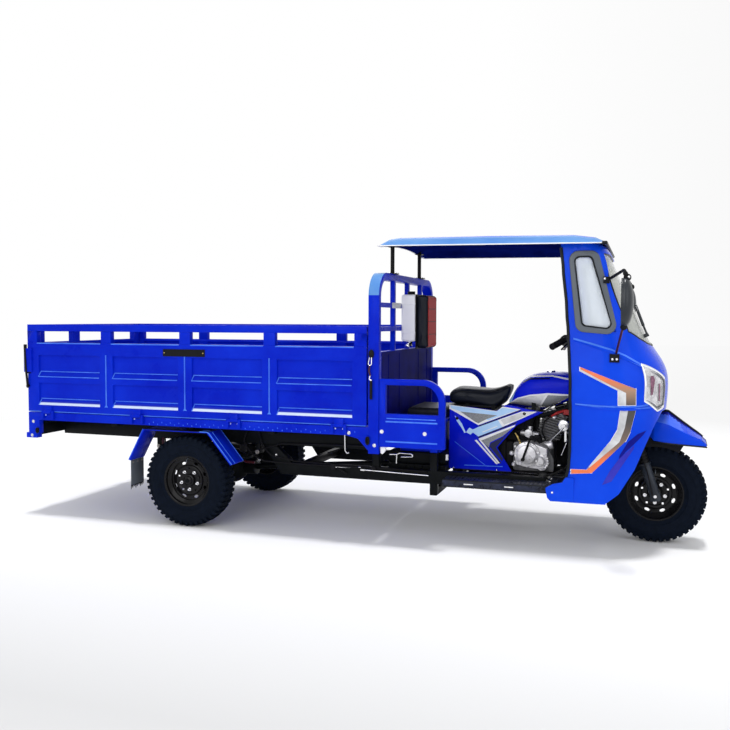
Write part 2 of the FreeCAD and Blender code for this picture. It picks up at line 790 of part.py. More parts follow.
lamp_corners = ((-420.0, 1076.0), (-262.0, 996.0), (-262.0, 828.0), (-336.0, 812.0), (-422.0, 872.0))


def lamp_block(grow):
    """Slot through the cab's front corner for the right headlamp."""
    cy = sum(y for y, z in lamp_corners) / len(lamp_corners)
    cz = sum(z for y, z in lamp_corners) / len(lamp_corners)
    moved = [(y + grow * math.copysign(1.0, y - cy), z + grow * math.copysign(1.0, z - cz)) for y, z in lamp_corners]
    return prism(moved, "x", at_axle(2600.0), at_axle(2950.0))


def screen_block(grow):
    """Slot through the cab's front for the windscreen, with a curved lower edge."""
    half = glass_half_width + grow
    lower = [(0.0, 0.0), (0.35, 3.0), (0.65, 20.0), (0.85, 48.0), (1.0, 86.0)]
    points = [(share * half, glass_bottom - grow + rise) for share, rise in lower]
    outline = [(-y, z) for y, z in reversed(points[1:])] + points
    outline += [(half, glass_top + grow), (-half, glass_top + grow)]
    return prism(outline, "x", at_axle(2440.0), at_axle(3000.0))


far = 3000.0
nose_zone = box(0.0, far, -cab_split, cab_split, 0.0, glass_bottom + 60.0)
header_zone = box(0.0, far, -glass_half_width, glass_half_width, glass_top, far)
shell = cab_shell().cut(arch_cut())
window_holes = [side_window_prism(0.0, -700.0, -300.0), side_window_prism(0.0, 300.0, 700.0)]
lamp_holes = [lamp_block(0.0), mirrored(lamp_block(0.0))]
pierced = shell.cut(Part.makeCompound([screen_block(0.0)] + window_holes + lamp_holes))


def cab_sides():
    """The two side mouldings, from the rear edge round the front corners to the nose."""
    trimmed = pierced.cut(union([nose_zone, header_zone]))
    return Part.makeCompound([trimmed.common(box(0.0, far, -900.0, 0.0, 0.0, 2000.0)), trimmed.common(box(0.0, far, 0.0, 900.0, 0.0, 2000.0))])


def cab_nose():
    return pierced.common(nose_zone)


def cab_header():
    return pierced.common(header_zone)


def glass_shell():
    """A thin loft inside the cab wall, from which the glass is cut."""
    wires = []
    for section in cab_sections()[6:]:
        outer = cab_outline(section, glass_inset)
        inner = cab_outline(section, glass_inset + glass_thickness)
        inner.reverse()
        edges = [
            smooth_edge(outer),
            Part.LineSegment(outer[-1], inner[0]).toShape(),
            smooth_edge(inner),
            Part.LineSegment(inner[-1], outer[0]).toShape(),
        ]
        wires.append(Part.Wire(edges))
    return Part.makeLoft(wires, True, False)


glass_layer = glass_shell()


def glazing():
    """Windscreen and two side panes."""
    panes = [glass_layer.common(screen_block(-fit_gap))]
    for y0, y1 in ((-700.0, -300.0), (300.0, 700.0)):
        panes.append(glass_layer.common(side_window_prism(-seal_width - fit_gap, y0, y1)))
    return Part.makeCompound(panes)


def window_seals():
    seals = []
    for y0, y1 in ((-700.0, -300.0), (300.0, 700.0)):
        ring = shell.common(side_window_prism(-fit_gap, y0, y1))
        seals.append(ring.cut(side_window_prism(-seal_width, y0, y1)))
    return Part.makeCompound(seals)


def headlamps():
    return both_sides(shell.common(lamp_block(-fit_gap)))


# Roof
roof_rear_x = head_front_x - post_depth + roof_rear_overhang
roof_front_x = at_axle(2536.0)


def roof_lip(x):
    """Height of the lip along the roof."""
    share = (x - roof_rear_x) / (roof_front_x - roof_rear_x)
    return roof_lip_height - roof_front_drop * share


def roof_solid(inset):
    """Filled roof form, smaller by an inset: a flat crown falling to steep sides."""
    stations = [(0.0, 0.12), (0.012, 0.5), (0.035, 0.85), (0.08, 1.0), (0.5, 1.04), (0.86, 0.98), (0.95, 0.72), (1.0, 0.2)]
    w = roof_half_width - inset
    steps = 20
    wires = []
    for share, rise in stations:
        x = roof_rear_x + inset + (roof_front_x - roof_rear_x - 2.0 * inset) * share
        points = []
        for step in range(steps + 1):
            y = -w * math.cos(math.pi * step / steps)
            points.append(Vector(x, y, roof_lip(x) + (roof_crown - inset) * rise * (1.0 - abs(y / w) ** roof_squareness)))
        wires.append(Part.Wire([smooth_edge(points), Part.LineSegment(points[-1], points[0]).toShape()]))
    return Part.makeLoft(wires, True, True)


def roof_inside(gap):
    inner = roof_solid(roof_thickness + gap)
    inner.translate(Vector(0, 0, -roof_lip_depth))
    return inner


def roof():
    """Moulded roof: hollow underneath, with an arched opening in its rear edge."""
    shell = roof_solid(0.0).cut(roof_inside(0.0))
    arch = []
    steps = 8
    reach = roof_half_width - 60.0
    for step in range(steps + 1):
        y = -reach + 2.0 * reach * step / steps
        arch.append((y, roof_lip_height + roof_rear_arch * (1.0 - (y / reach) ** 2)))
    arch += [(reach, 1600.0), (-reach, 1600.0)]
    return shell.cut(prism(arch, "x", roof_rear_x - 1.0, roof_rear_x + 60.0))


roof_skin = roof_solid(-fit_gap).cut(roof_inside(fit_gap))


def under_roof(shape):
    """What stays below the roof of pieces that reach up through it."""
    kept = [min(solid.cut(roof_skin).Solids, key=lambda part: part.BoundBox.ZMin) for solid in shape.Solids]
    return Part.makeCompound(kept) if len(kept) > 1 else kept[0]


# Seat, fuel tank and covers
seat_sections = (
    (1577.0, 800.0, 862.0, 112.0), (1597.0, 790.0, 880.0, 128.0), (1645.0, 784.0, 888.0, 138.0),
    (1735.0, 778.0, 884.0, 142.0), (1825.0, 768.0, 880.0, 138.0), (1874.0, 768.0, 887.0, 128.0),
    (1910.0, 792.0, 899.0, 114.0), (1943.0, 846.0, 914.0, 96.0), (1961.0, 892.0, 923.0, 74.0),
)
tank_sections = (
    (1952.0, 796.0, 826.0, 70.0), (1984.0, 792.0, 880.0, 96.0), (2030.0, 787.0, 944.0, 118.0),
    (2090.0, 781.0, 980.0, 134.0), (2170.0, 780.0, 996.0, 146.0), (2270.0, 806.0, 999.0, 150.0),
    (2345.0, 838.0, 986.0, 142.0), (2392.0, 862.0, 958.0, 116.0), (2408.0, 884.0, 930.0, 84.0),
)


def seat():
    return rounded_loft(seat_sections, 3.4)


def fuel_tank():
    return rounded_loft(tank_sections, 2.7)


def saddle_mounts():
    """Cross plates on the seat tubes that carry the seat and the fuel tank."""
    plates = [
        box(at_axle(1690.0), at_axle(1715.0), -128.0, 128.0, 712.0, 820.0),
        box(at_axle(1850.0), at_axle(1870.0), -126.0, 126.0, 720.0, 820.0),
        box(at_axle(2095.0), at_axle(2120.0), -118.0, 118.0, 732.0, 840.0),
        box(at_axle(2300.0), at_axle(2320.0), -88.0, 88.0, 784.0, 880.0),
    ]
    grown = [rounded_loft(seat_sections, 3.4, fit_gap), rounded_loft(tank_sections, 2.7, fit_gap)]
    kept = []
    for plate in plates:
        solids = plate.cut(Part.makeCompound(grown)).Solids
        kept.append(min(solids, key=lambda solid: solid.CenterOfMass.z))
    return kept


def side_covers():
    outline = [
        (1598.0, 780.0), (1593.0, 372.0 + 20.0), (1985.0, 392.0), (1896.0, 534.0), (2014.0, 677.0),
        (2173.0, 763.0), (2130.0, 768.0), (1988.0, 796.0), (1945.0, 800.0), (1889.0, 760.0), (1740.0, 778.0),
    ]
    cover = prism([(at_axle(x), z) for x, z in outline], "y", -cover_inside - cover_thickness, -cover_inside)
    return both_sides(cover)


# Engine
def engine_crankcase():
    block = box(at_axle(crankcase_rear), at_axle(2230.0), -110.0, 110.0, 400.0, 580.0)
    shapes = [block]
    shapes.append(rod((at_axle(2078.0), -200.0, 505.0), (at_axle(2078.0), 190.0, 505.0), 74.0))
    shapes.append(rod((at_axle(2150.0), -180.0, 462.0), (at_axle(2150.0), 170.0, 462.0), 46.0))
    return union(shapes)


def engine_cylinder():
    """Finned barrel and head, leaning forward."""
    lean = 16.0
    base = Vector(at_axle(2185.0), 0, 580.0 + fit_gap)
    shapes = [box(-55.0, 55.0, -60.0, 60.0, 4.0, 175.0)]
    for step in range(10):
        z = 10.0 + step * 16.0
        shapes.append(box(-72.0, 72.0, -82.0, 82.0, z, z + 5.0))
    barrel = union(shapes)
    barrel.rotate(Vector(0, 0, 0), AXES["y"], lean)
    barrel.translate(base)
    return barrel.cut(box(at_axle(1900.0), at_axle(2400.0), -200.0, 200.0, 300.0, 580.0 + fit_gap))


def exhaust():
    pipe = bent_tube([
        (at_axle(2286.0), 30.0, 640.0), (at_axle(2350.0), 60.0, 560.0), (at_axle(2290.0), 200.0, 298.0),
        (at_axle(2100.0), 200.0, 298.0),
    ], 50.0, 17.0)
    tail = at_axle(upright_reach) + tube_width + 87.0
    muffler = rod((at_axle(2110.0), 200.0, 298.0), (tail, 200.0, 298.0), 40.0)
    hanger = box(tail - 40.0, tail + 5.0, 185.0, 215.0, 290.0, rail_bottom - fit_gap)
    return union([pipe, muffler, hanger]).cut(engine_cylinder())


def footboards():
    """Checkered steps each side of the engine, carried by the low rails."""
    x0, x1 = at_axle(footboard_rear), at_axle(2236.0)
    outer = rail_spread + rail_width / 2.0 + fit_gap
    top = footboard_height
    plate = box(x0, x1, -500.0, -outer, top - 4.0, top)
    ahead = box(x1, at_axle(shield_x) - fit_gap, -470.0, -190.0, top - 4.0, top)
    skirt = box(x0, x1, -500.0, -494.0, 340.0, top)
    shapes = [plate, ahead, skirt]
    for forward in (1700.0, 2100.0):
        shapes.append(box(at_axle(forward), at_axle(forward + 30.0), -494.0, -outer, 345.0, top))
    return both_sides(union(shapes))


def inner_shield():
    """Splash wall between the front wheel and the rider's feet, fitted to the cab's inside."""
    x0 = at_axle(shield_x)
    wall = box(x0, x0 + 4.0, -600.0, 600.0, 345.0, 760.0).common(cab_solid(cab_wall + fit_gap))
    return wall.cut(bent_tube(down_tube_path(), 60.0, down_tube_radius + fit_gap))


def dashboard():
    """Shelf with a binnacle under the windscreen, fitted to the cab's inside."""
    outline = [(2592.0, 1076.0), (2592.0, 1150.0), (2660.0, 1176.0), (2860.0, 1150.0), (2860.0, 1100.0)]
    shelf = prism([(at_axle(x), z) for x, z in outline], "y", -600.0, 600.0)
    return shelf.common(cab_solid(cab_wall + fit_gap))


# Steering
def front_fork():
    lean = math.radians(rake)
    shapes = []
    for sign in SIDES.values():
        def spot(z):
            x, _, height = leg_point(z)
            return (x, sign * fork_spread, height)
        shapes.append(rod(spot(tyre_radius - 25.0), spot(560.0), fork_slider_radius))
        shapes.append(rod(spot(550.0), spot(1010.0), fork_tube_radius))
    for z in (head_bottom - 34.0, head_top + 10.0):
        clamp = Part.makeBox(100.0, 2.0 * fork_spread + 60.0, 24.0)
        clamp.translate(Vector(-34.0, -fork_spread - 30.0, 0))
        clamp.rotate(Vector(0, 0, 0), AXES["y"], -rake)
        clamp.translate(Vector(*head_point(z)))
        shapes.append(clamp)
    shapes.append(rod(head_point(head_bottom - 30.0), head_point(bar_clamp_height), stem_radius))
    x, _, z = front_centre
    shapes.append(rod((x, -fork_spread - 30.0, z), (x, fork_spread + 30.0, z), axle_radius))
    lug = box(at_axle(2676.0), at_axle(2700.0), -30.0, 30.0, 740.0, 792.0)
    shapes.append(lug.cut(fender_loft(-fit_gap, 0.0)))
    return union(shapes)


def handlebar():
    x, _, z = head_point(bar_clamp_height)
    points = [(at_axle(2236.0), -bar_half_width, 1160.0), (at_axle(2310.0), -235.0, 1222.0)]
    half = bent_tube(points + [(x - 20.0, -110.0, z + 14.0), (x, 30.0, z + 14.0)], 40.0, bar_radius)
    half = half.cut(box(-3000.0, 3000.0, 0.0, 500.0, 0.0, 3000.0))
    tip, inward = Vector(*points[0]), Vector(*points[1])
    along = (inward - tip).normalize()
    grip = Part.makeCylinder(grip_radius, grip_length, tip, along)
    perch = Part.makeCylinder(18.0, 22.0, tip + along * (grip_length + 6.0), along)
    pivot = tip + along * (grip_length + 16.0) + Vector(44.0, 0, -4.0)
    lever = rod(pivot, tip + along * 8.0 + Vector(52.0, 0, -14.0), 5.5)
    stay = rod(pivot, tip + along * (grip_length + 16.0), 8.0)
    half = union([half, grip, perch, lever, stay])
    clamp = rod((x, -40.0, z + 14.0), (x, 40.0, z + 14.0), 26.0)
    return union([half, mirrored(half), clamp]).cut(front_fork())


def fender_sections():
    """Length ahead of the rear axle, ridge, half width, shoulder and skirt of the front fender."""
    return [
        (2676.0, 750.0, 58.0, 736.0, 700.0),
        (2742.0, 766.0, 78.0, 738.0, 672.0),
        (2800.0, 779.0, 142.0, 735.0, 614.0),
        (2880.0, 782.0, 152.0, 716.0, 606.0),
        (2980.0, 706.0, 150.0, 668.0, 600.0),
        (3060.0, 648.0, 138.0, 634.0, 595.0),
        (3088.0, 622.0, 118.0, 606.0, 590.0),
    ]


def fender_loft(inset, drop):
    wires = []
    for x, ridge, half, shoulder, skirt in fender_sections():
        half -= inset
        points = [
            (-half, skirt - drop), (-half, shoulder - inset), (0.0, ridge - inset), (half, shoulder - inset), (half, skirt - drop),
        ]
        corners = [Vector(at_axle(x), y, z) for y, z in points]
        wires.append(Part.makePolygon(corners + corners[:1]))
    return Part.makeLoft(wires, True, True)


def front_fender():
    """Pointed mudguard on the fork, with a ridge along its middle and room for the fork's legs."""
    legs = []
    for sign in SIDES.values():
        low, high = leg_point(500.0), leg_point(900.0)
        legs.append(rod((low[0], sign * fork_spread, low[2]), (high[0], sign * fork_spread, high[2]), fork_tube_radius + 5.0))
    return fender_loft(0.0, 0.0).cut(fender_loft(5.0, 6.0)).cut(Part.makeCompound(legs))


# Rear mudguards, flaps and lamps
guard_sheet = 8.0
flap_top = 402.0


def rear_mudguards():
    """Flat-topped guards under the bearers, with a slanted strip at each end."""
    x = rear_axle_x
    top = sill_under - bearer_height - fit_gap
    folds = [(-410.0, flap_top + guard_sheet), (-300.0, top), (170.0, top), (333.0, 420.0)]
    under = [(x + a - math.copysign(guard_sheet, a), b - guard_sheet) for a, b in reversed(folds)]
    outline = [(x + a, b) for a, b in folds] + under
    return both_sides(prism(outline, "y", -half_bed - 6.0, -half_bed + 160.0))


def mud_flaps():
    x = rear_axle_x - 406.0
    return both_sides(box(x, x + 6.0, -half_bed + 10.0, -half_bed + 150.0, 240.0, flap_top - fit_gap))


def tail_lamps():
    x = beam_x - beam_thickness
    return both_sides(box(x - 37.7, x - fit_gap, -half_bed + 70.0, -half_bed + 220.0, sill_under - 100.0, sill_under - 10.0))


def mirrors():
    """Tall mirrors on stems from the cab's sides, each with a second arm from the pillar."""
    centre = Vector(at_axle(2640.0), -680.0, 1412.0)
    shape = Part.makeSphere(1.0)
    matrix = FreeCAD.Matrix()
    matrix.scale(44.0, 74.0, 128.0)
    head = shape.transformGeometry(matrix)
    head.translate(centre)
    head = head.cut(box(centre.x - 200.0, centre.x - 16.0, -900.0, -500.0, 1200.0, 1600.0))
    stem = bent_tube([
        (centre.x, centre.y, 1300.0), (at_axle(2628.0), -676.0, 1262.0), (at_axle(2586.0), -430.0, 1106.0),
    ], 30.0, 6.5)
    arm = bent_tube([
        (centre.x, centre.y, 1520.0), (at_axle(2640.0), -680.0, 1584.0), (at_axle(2544.0), -430.0, 1540.0),
    ], 26.0, 8.0)
    base = box(at_axle(2560.0), at_axle(2612.0), -492.0, -430.0, 1086.0, 1132.0)
    pillar_base = box(at_axle(2520.0), at_axle(2552.0), -476.0, -430.0, 1520.0, 1556.0)
    mount = union([stem, arm, base, pillar_base]).cut(cab_solid(-fit_gap))
    return both_sides(union([head] + outside_pieces(mount)))


def outside_pieces(shape):
    """The solids of a mount that lie outside the cab's wall."""
    return [solid for solid in shape.Solids if solid.CenterOfMass.y < -440.0]


NODES = {
    "chassis_rails": chassis_rails(),
    "chassis_cross_tubes": chassis_cross_tubes(),
    "battery_box": battery_box(),
    "main_frame": main_frame(),
    "subframe_rails": subframe_rails(),
    "subframe_bearers": subframe_bearers(),
    "bed_deck": bed_deck(),
    "bed_sills": bed_sills(),
    "headboard": headboard(),
    "seat_guards": seat_guards(),
    "rear_platform": rear_platform(),
    "deck_cushion": deck_cushion(),
    "water_tank": water_tank(),
    "backrest": backrest(),
    "roof_posts": roof_posts(),
    "cab_sides": under_roof(cab_sides()),
    "cab_nose": cab_nose(),
    "cab_header": under_roof(cab_header()),
    "glazing": glazing(),
    "window_seals": window_seals(),
    "headlamps": headlamps(),
    "roof": roof(),
    "seat": seat(),
    "fuel_tank": fuel_tank(),
    "side_covers": side_covers(),
    "engine_crankcase": engine_crankcase(),
    "engine_cylinder": engine_cylinder(),
    "exhaust": exhaust(),
    "footboards": footboards(),
    "inner_shield": inner_shield(),
    "dashboard": dashboard(),
    "rear_axle": rear_axle(),
    "leaf_springs": leaf_springs(),
    "rear_mudguards": rear_mudguards(),
    "mud_flaps": mud_flaps(),
    "tail_lamps": tail_lamps(),
    "mirrors": mirrors(),
    "front_fork": front_fork(),
    "handlebar": handlebar(),
    "front_fender": front_fender(),
    "front_tyre": tyre(front_centre),
    "front_rim": rim(front_centre, axle_radius + running_gap),
    "side_panel_right": side_panel(-1),
    "side_panel_left": side_panel(1),
    "side_rail_right": side_rail(-1),
    "side_rail_left": side_rail(1),
    "tailgate": tailgate(),
}
for side, centre in rear_centres.items():
    NODES["rear_tyre_" + side] = tyre(centre)
    NODES["rear_rim_" + side] = rim(centre, axle_radius + running_gap)

for name, shape in NODES.items():
    shape.exportStep("parts/" + name + ".step")
    box_of = shape.BoundBox
    print(name, len(shape.Solids), shape.isValid(),
          "x %.0f..%.0f y %.0f..%.0f z %.0f..%.0f" % (box_of.XMin, box_of.XMax, box_of.YMin, box_of.YMax, box_of.ZMin, box_of.ZMax),
          "vol %.4f m3" % (shape.Volume / 1e9))
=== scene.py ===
# Cargo motor tricycle: the looks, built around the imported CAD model
import bpy
import json
import math
import random
from mathutils import Matrix, Vector


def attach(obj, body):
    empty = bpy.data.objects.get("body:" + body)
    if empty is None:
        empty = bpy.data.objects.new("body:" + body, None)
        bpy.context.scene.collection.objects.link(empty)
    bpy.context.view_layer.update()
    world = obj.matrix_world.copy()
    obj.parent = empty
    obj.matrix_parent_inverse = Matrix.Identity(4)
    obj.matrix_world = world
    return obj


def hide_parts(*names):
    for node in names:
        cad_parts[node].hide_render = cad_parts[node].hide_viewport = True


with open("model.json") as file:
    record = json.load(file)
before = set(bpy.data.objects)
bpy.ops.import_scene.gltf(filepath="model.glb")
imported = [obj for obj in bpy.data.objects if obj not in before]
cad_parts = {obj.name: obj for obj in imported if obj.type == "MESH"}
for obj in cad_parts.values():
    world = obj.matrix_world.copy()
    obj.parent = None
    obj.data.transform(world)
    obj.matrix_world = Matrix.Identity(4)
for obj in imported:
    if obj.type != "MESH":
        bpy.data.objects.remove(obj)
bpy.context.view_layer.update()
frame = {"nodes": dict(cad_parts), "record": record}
nodeBody = {n: body for body, names in frame["record"]["behaviour"]["bodies"].items() for n in names}
nodeSlot = {part["node"]: part["material_slot"] for part in frame["record"]["subparts"]}
rearAxleX = -0.9415      # middle of the rear wheels
frontAxleX = 1.8735
bedRearX = -2.1415
bedFrontX = 0.2685
axleZ = 0.29
outwards, upwards = (0, -1, 0), (0, 0, 1)      # to the right, and up
mergeDoubles = (bpy.ops.mesh.remove_doubles, {"threshold": 0.00001})


# Handling pieces
def clearSelection():
    if bpy.context.object and bpy.context.object.mode != "OBJECT":
        bpy.ops.object.mode_set(mode="OBJECT")
    bpy.ops.object.select_all(action="DESELECT")


def take(piece):
    clearSelection()
    piece.select_set(True)
    bpy.context.view_layer.objects.active = piece
    return piece


def fresh(name):
    piece = bpy.context.active_object
    piece.name = name
    return piece


def settle(piece):      # put the piece's place into its mesh
    take(piece)
    bpy.ops.object.transform_apply(location=True, rotation=True, scale=True)
    return piece


def useModifier(piece, kind, **values):
    take(piece)
    mod = piece.modifiers.new(kind.lower(), kind)
    for key, value in values.items():
        setattr(mod, key, value)
    bpy.ops.object.modifier_apply(modifier=mod.name)
    return piece


def softenEdges(piece, width, segments=2, angle=32):
    return useModifier(piece, "BEVEL", width=width, segments=segments, limit_method="ANGLE",
                       angle_limit=math.radians(angle), use_clamp_overlap=True)


def smoothBy(piece, angle=40):
    take(piece)
    bpy.ops.object.shade_smooth_by_angle(angle=math.radians(angle))
    return piece


def inEdit(piece, *steps):      # mesh operators on the whole of a piece
    take(piece)
    bpy.ops.object.mode_set(mode="EDIT")
    bpy.ops.mesh.select_all(action="SELECT")
    for operator, values in steps:
        operator(**values)
    bpy.ops.object.mode_set(mode="OBJECT")
    return piece


def fixNormals(piece):
    return inEdit(piece, mergeDoubles, (bpy.ops.mesh.normals_make_consistent, {"inside": False}))


def duplicate(piece):      # a copy with its own mesh
    copy = piece.copy()
    copy.data = piece.data.copy()
    bpy.context.scene.collection.objects.link(copy)
    return copy


def unbound(piece):      # without the marks that a fitted piece or a node carries
    piece.parent = None
    for key in list(piece.keys()):
        del piece[key]
    return piece


def joinAll(pieces, name):
    clearSelection()
    for piece in pieces:
        piece.select_set(True)
    bpy.context.view_layer.objects.active = pieces[0]
    if len(pieces) > 1:
        bpy.ops.object.join()
    return fresh(name)


def bareTwin(piece, name):      # the left-hand twin of a right-hand piece, not yet fitted
    return mirrorInPlace(unbound(duplicate(piece)), name)


def mirrorInPlace(piece, name):
    piece.data.transform(Matrix.Diagonal((1, -1, 1, 1)))
    inEdit(piece, (bpy.ops.mesh.flip_normals, {}))
    piece.name = name
    return piece


def bothSides(piece, name=None):
    return joinAll([piece, bareTwin(piece, "twin")], name or piece.name)


# Places
def around(degrees, reach=1.0):      # (across, up) of a spot on a circle
    return reach * math.cos(math.radians(degrees)), reach * math.sin(math.radians(degrees))


def beside(degrees, reach):      # the same in the plane of the wheels
    across, up = around(degrees, reach)
    return Vector((across, 0, up))


def oval(y, z, wide, tall, step=12):      # its outline, seen from the front
    return [(y + wide * across, z + tall * up) for across, up in map(around, range(0, 360, step))]


def facing(direction, spots):      # places for scatter that all look one way
    return [(spot, direction) for spot in spots]


# Shapes
def makeBlock(low, high, edge=0.002, segments=2):
    clearSelection()
    low, high = Vector(low), Vector(high)
    bpy.ops.mesh.primitive_cube_add(size=1.0, location=(low + high) / 2)
    piece = fresh("part")
    piece.scale = high - low
    settle(piece)
    return softenEdges(piece, edge, segments) if edge else piece


def makeBar(start, end, radius, sides=20, edge=0.0, tip=None):
    clearSelection()
    start, end = Vector(start), Vector(end)
    run = end - start
    turn = run.to_track_quat("Z", "Y").to_euler()
    if tip is None:
        bpy.ops.mesh.primitive_cylinder_add(vertices=sides, radius=radius, depth=run.length,
                location=(start + end) / 2, rotation=turn)
    else:
        bpy.ops.mesh.primitive_cone_add(vertices=sides, radius1=radius, radius2=tip, depth=run.length,
                location=(start + end) / 2, rotation=turn)
    piece = settle(fresh("part"))
    if edge:
        softenEdges(piece, edge)
    return smoothBy(piece)


def makeBall(centre, size, rings=12, sides=20):
    clearSelection()
    bpy.ops.mesh.primitive_uv_sphere_add(segments=sides, ring_count=rings, radius=1.0, location=centre)
    piece = fresh("part")
    piece.scale = (size, size, size) if isinstance(size, float) else size
    return smoothBy(settle(piece), 60)


def makeOutline(points):      # a flat filled outline with its corners in place
    clearSelection()
    bpy.ops.mesh.primitive_circle_add(vertices=len(points), radius=1.0, fill_type="NGON")
    piece = fresh("part")
    for vertex, point in zip(piece.data.vertices, points):
        vertex.co = point
    return piece


def makePlate(outline, axis, low, high, edge=0.0015, segments=2):
    spots = {"x": lambda a, b: (low, a, b), "y": lambda a, b: (a, low, b), "z": lambda a, b: (a, b, low)}[axis]
    run = {"x": (high - low, 0, 0), "y": (0, high - low, 0), "z": (0, 0, high - low)}[axis]
    piece = makeOutline([spots(a, b) for a, b in outline])
    inEdit(piece, (bpy.ops.mesh.extrude_region_move, {"TRANSFORM_OT_translate": {"value": run}}))
    fixNormals(piece)
    return softenEdges(piece, edge, segments) if edge else piece


def makeRound(profile, centre, axis="y", steps=48, angle=40):      # spin a closed outline of (radius, along)
    clearSelection()
    centre = Vector(centre)
    bpy.ops.mesh.primitive_circle_add(vertices=len(profile), radius=1.0, fill_type="NOTHING")
    piece = fresh("part")
    along = {"x": Vector((1, 0, 0)), "y": Vector((0, 1, 0)), "z": Vector((0, 0, 1))}[axis]
    outward = Vector((0, 0, 1)) if axis != "z" else Vector((1, 0, 0))
    for vertex, (radius, run) in zip(piece.data.vertices, profile):
        vertex.co = centre + outward * radius + along * run
    inEdit(piece, (bpy.ops.mesh.spin, {"steps": steps, "angle": 2 * math.pi, "center": centre, "axis": along}))
    return smoothBy(fixNormals(piece), angle)


def makeTube(points, radius, bend=0.03, sides=3, caps=True):      # a bent tube or wire
    clearSelection()
    bpy.ops.curve.primitive_bezier_curve_add(location=(0, 0, 0))
    wire = fresh("part")
    wire.data.dimensions = "3D"
    spots = [Vector(p) for p in points]
    knots = [(spots[0], spots[0], spots[0])]
    for before, corner, after in zip(spots, spots[1:], spots[2:]):
        into, out = (corner - before).normalized(), (after - corner).normalized()
        turn = into.angle(out, 0.0)
        reach = min(bend * math.tan(turn / 2), (corner - before).length * 0.45, (after - corner).length * 0.45)
        start, end = corner - into * reach, corner + out * reach
        knots.append((start, start, start + into * reach * 0.55))
        knots.append((end, end - out * reach * 0.55, end))
    knots.append((spots[-1], spots[-1], spots[-1]))
    line = wire.data.splines[0]
    line.bezier_points.add(len(knots) - len(line.bezier_points))
    for knot, (co, left, right) in zip(line.bezier_points, knots):
        knot.handle_left_type = knot.handle_right_type = "FREE"
        knot.co, knot.handle_left, knot.handle_right = co, left, right
    wire.data.resolution_u = 5
    wire.data.bevel_depth = radius
    wire.data.bevel_resolution = sides
    wire.data.use_fill_caps = caps
    take(wire)
    bpy.ops.object.convert(target="MESH")
    return smoothBy(fixNormals(fresh("part")), 50)


def hexBolt(radius=0.008, height=0.006):      # along +Z, standing on its washer
    head = makeBar((0, 0, 0.0015), (0, 0, 0.0015 + height), radius, sides=6)
    softenEdges(head, radius * 0.12, 1)
    washer = makeBar((0, 0, 0), (0, 0, 0.0015), radius * 1.45, sides=14)
    return joinAll([head, washer], "bolt")


def domeBolt(radius=0.008, height=0.004):      # half sunk in what it stands on
    return makeBall((0, 0, 0), (radius, radius, height), rings=6, sides=12)


def scatter(template, places, name="part"):      # copies at (point, direction), joined
    copies = []
    for point, direction in places:
        copy = duplicate(template)
        turn = Vector(direction).to_track_quat("Z", "Y").to_matrix().to_4x4()
        copy.data.transform(Matrix.Translation(point) @ turn)
        copies.append(copy)
    bpy.data.objects.remove(template)
    return joinAll(copies, name)


def cutBy(piece, cutters, kind="DIFFERENCE"):      # boolean with one joined tool
    tool = joinAll(cutters, "tool") if len(cutters) > 1 else cutters[0]
    take(piece)
    mod = piece.modifiers.new("cut", "BOOLEAN")
    mod.operation = kind
    mod.solver = "EXACT"
    mod.object = tool
    bpy.ops.object.modifier_apply(modifier=mod.name)
    bpy.data.objects.remove(tool)
    return piece


def copyNode(node, name):      # a merged copy of a CAD node's mesh
    piece = unbound(duplicate(frame["nodes"][node]))
    piece.name = name
    piece.hide_render = piece.hide_viewport = False
    piece.hide_set(False)
    return inEdit(piece, mergeDoubles, (bpy.ops.mesh.dissolve_limited, {"angle_limit": math.radians(0.6)}))


def keepFaces(piece, wanted):      # drop every face that the test refuses
    take(piece)
    bpy.ops.object.mode_set(mode="EDIT")
    bpy.ops.mesh.select_mode(type="FACE")
    bpy.ops.mesh.select_all(action="DESELECT")
    bpy.ops.object.mode_set(mode="OBJECT")
    for face in piece.data.polygons:
        face.select = not wanted(face)
    bpy.ops.object.mode_set(mode="EDIT")
    bpy.ops.mesh.delete(type="FACE")
    bpy.ops.mesh.select_mode(type="VERT")
    bpy.ops.object.mode_set(mode="OBJECT")
    return piece


def cutAway(piece, spot, direction):      # cut away what lies beyond a plane
    return inEdit(piece, (bpy.ops.mesh.bisect, {"plane_co": spot, "plane_no": direction, "clear_outer": True}))


# thin film that follows a skin; shapes are convex, in X and Z
def makeFilm(skin, shapes, lift, name, thick=0.0004):
    pieces = []
    for shape in shapes:
        piece = duplicate(skin)
        cx = sum(x for x, z in shape) / len(shape)
        cz = sum(z for x, z in shape) / len(shape)
        for (x0, z0), (x1, z1) in zip(shape, shape[1:] + shape[:1]):
            out = Vector((z1 - z0, 0, x0 - x1)).normalized()
            if out.dot(Vector((cx - x0, 0, cz - z0))) > 0:
                out = -out
            cutAway(piece, (x0, 0, z0), out)
        pieces.append(piece)
    film = inEdit(joinAll(pieces, name), (bpy.ops.mesh.remove_doubles, {"threshold": 0.0002}))
    out = Vector((0.35, -1.0, 0.0)) if sum(v.normal.y for v in film.data.vertices) < 0 else Vector((0.35, 1.0, 0.0))
    for vertex in film.data.vertices:
        vertex.co += out * lift
    useModifier(film, "SOLIDIFY", thickness=thick, offset=-1)
    return smoothBy(film, 30)


# the spot on a right-hand skin at this X and Z; over a hole, the nearest one away from its middle
def onSkin(skin, x, z, middle=None):
    spot = None
    for step in range(16):
        hit, spot = skin.ray_cast((x, -1.2, z), (0, 1, 0))[:2]
        if hit or middle is None:
            break
        x, z = x + (x - middle[0]) * 0.08, z + (z - middle[1]) * 0.08
    return spot if hit else None


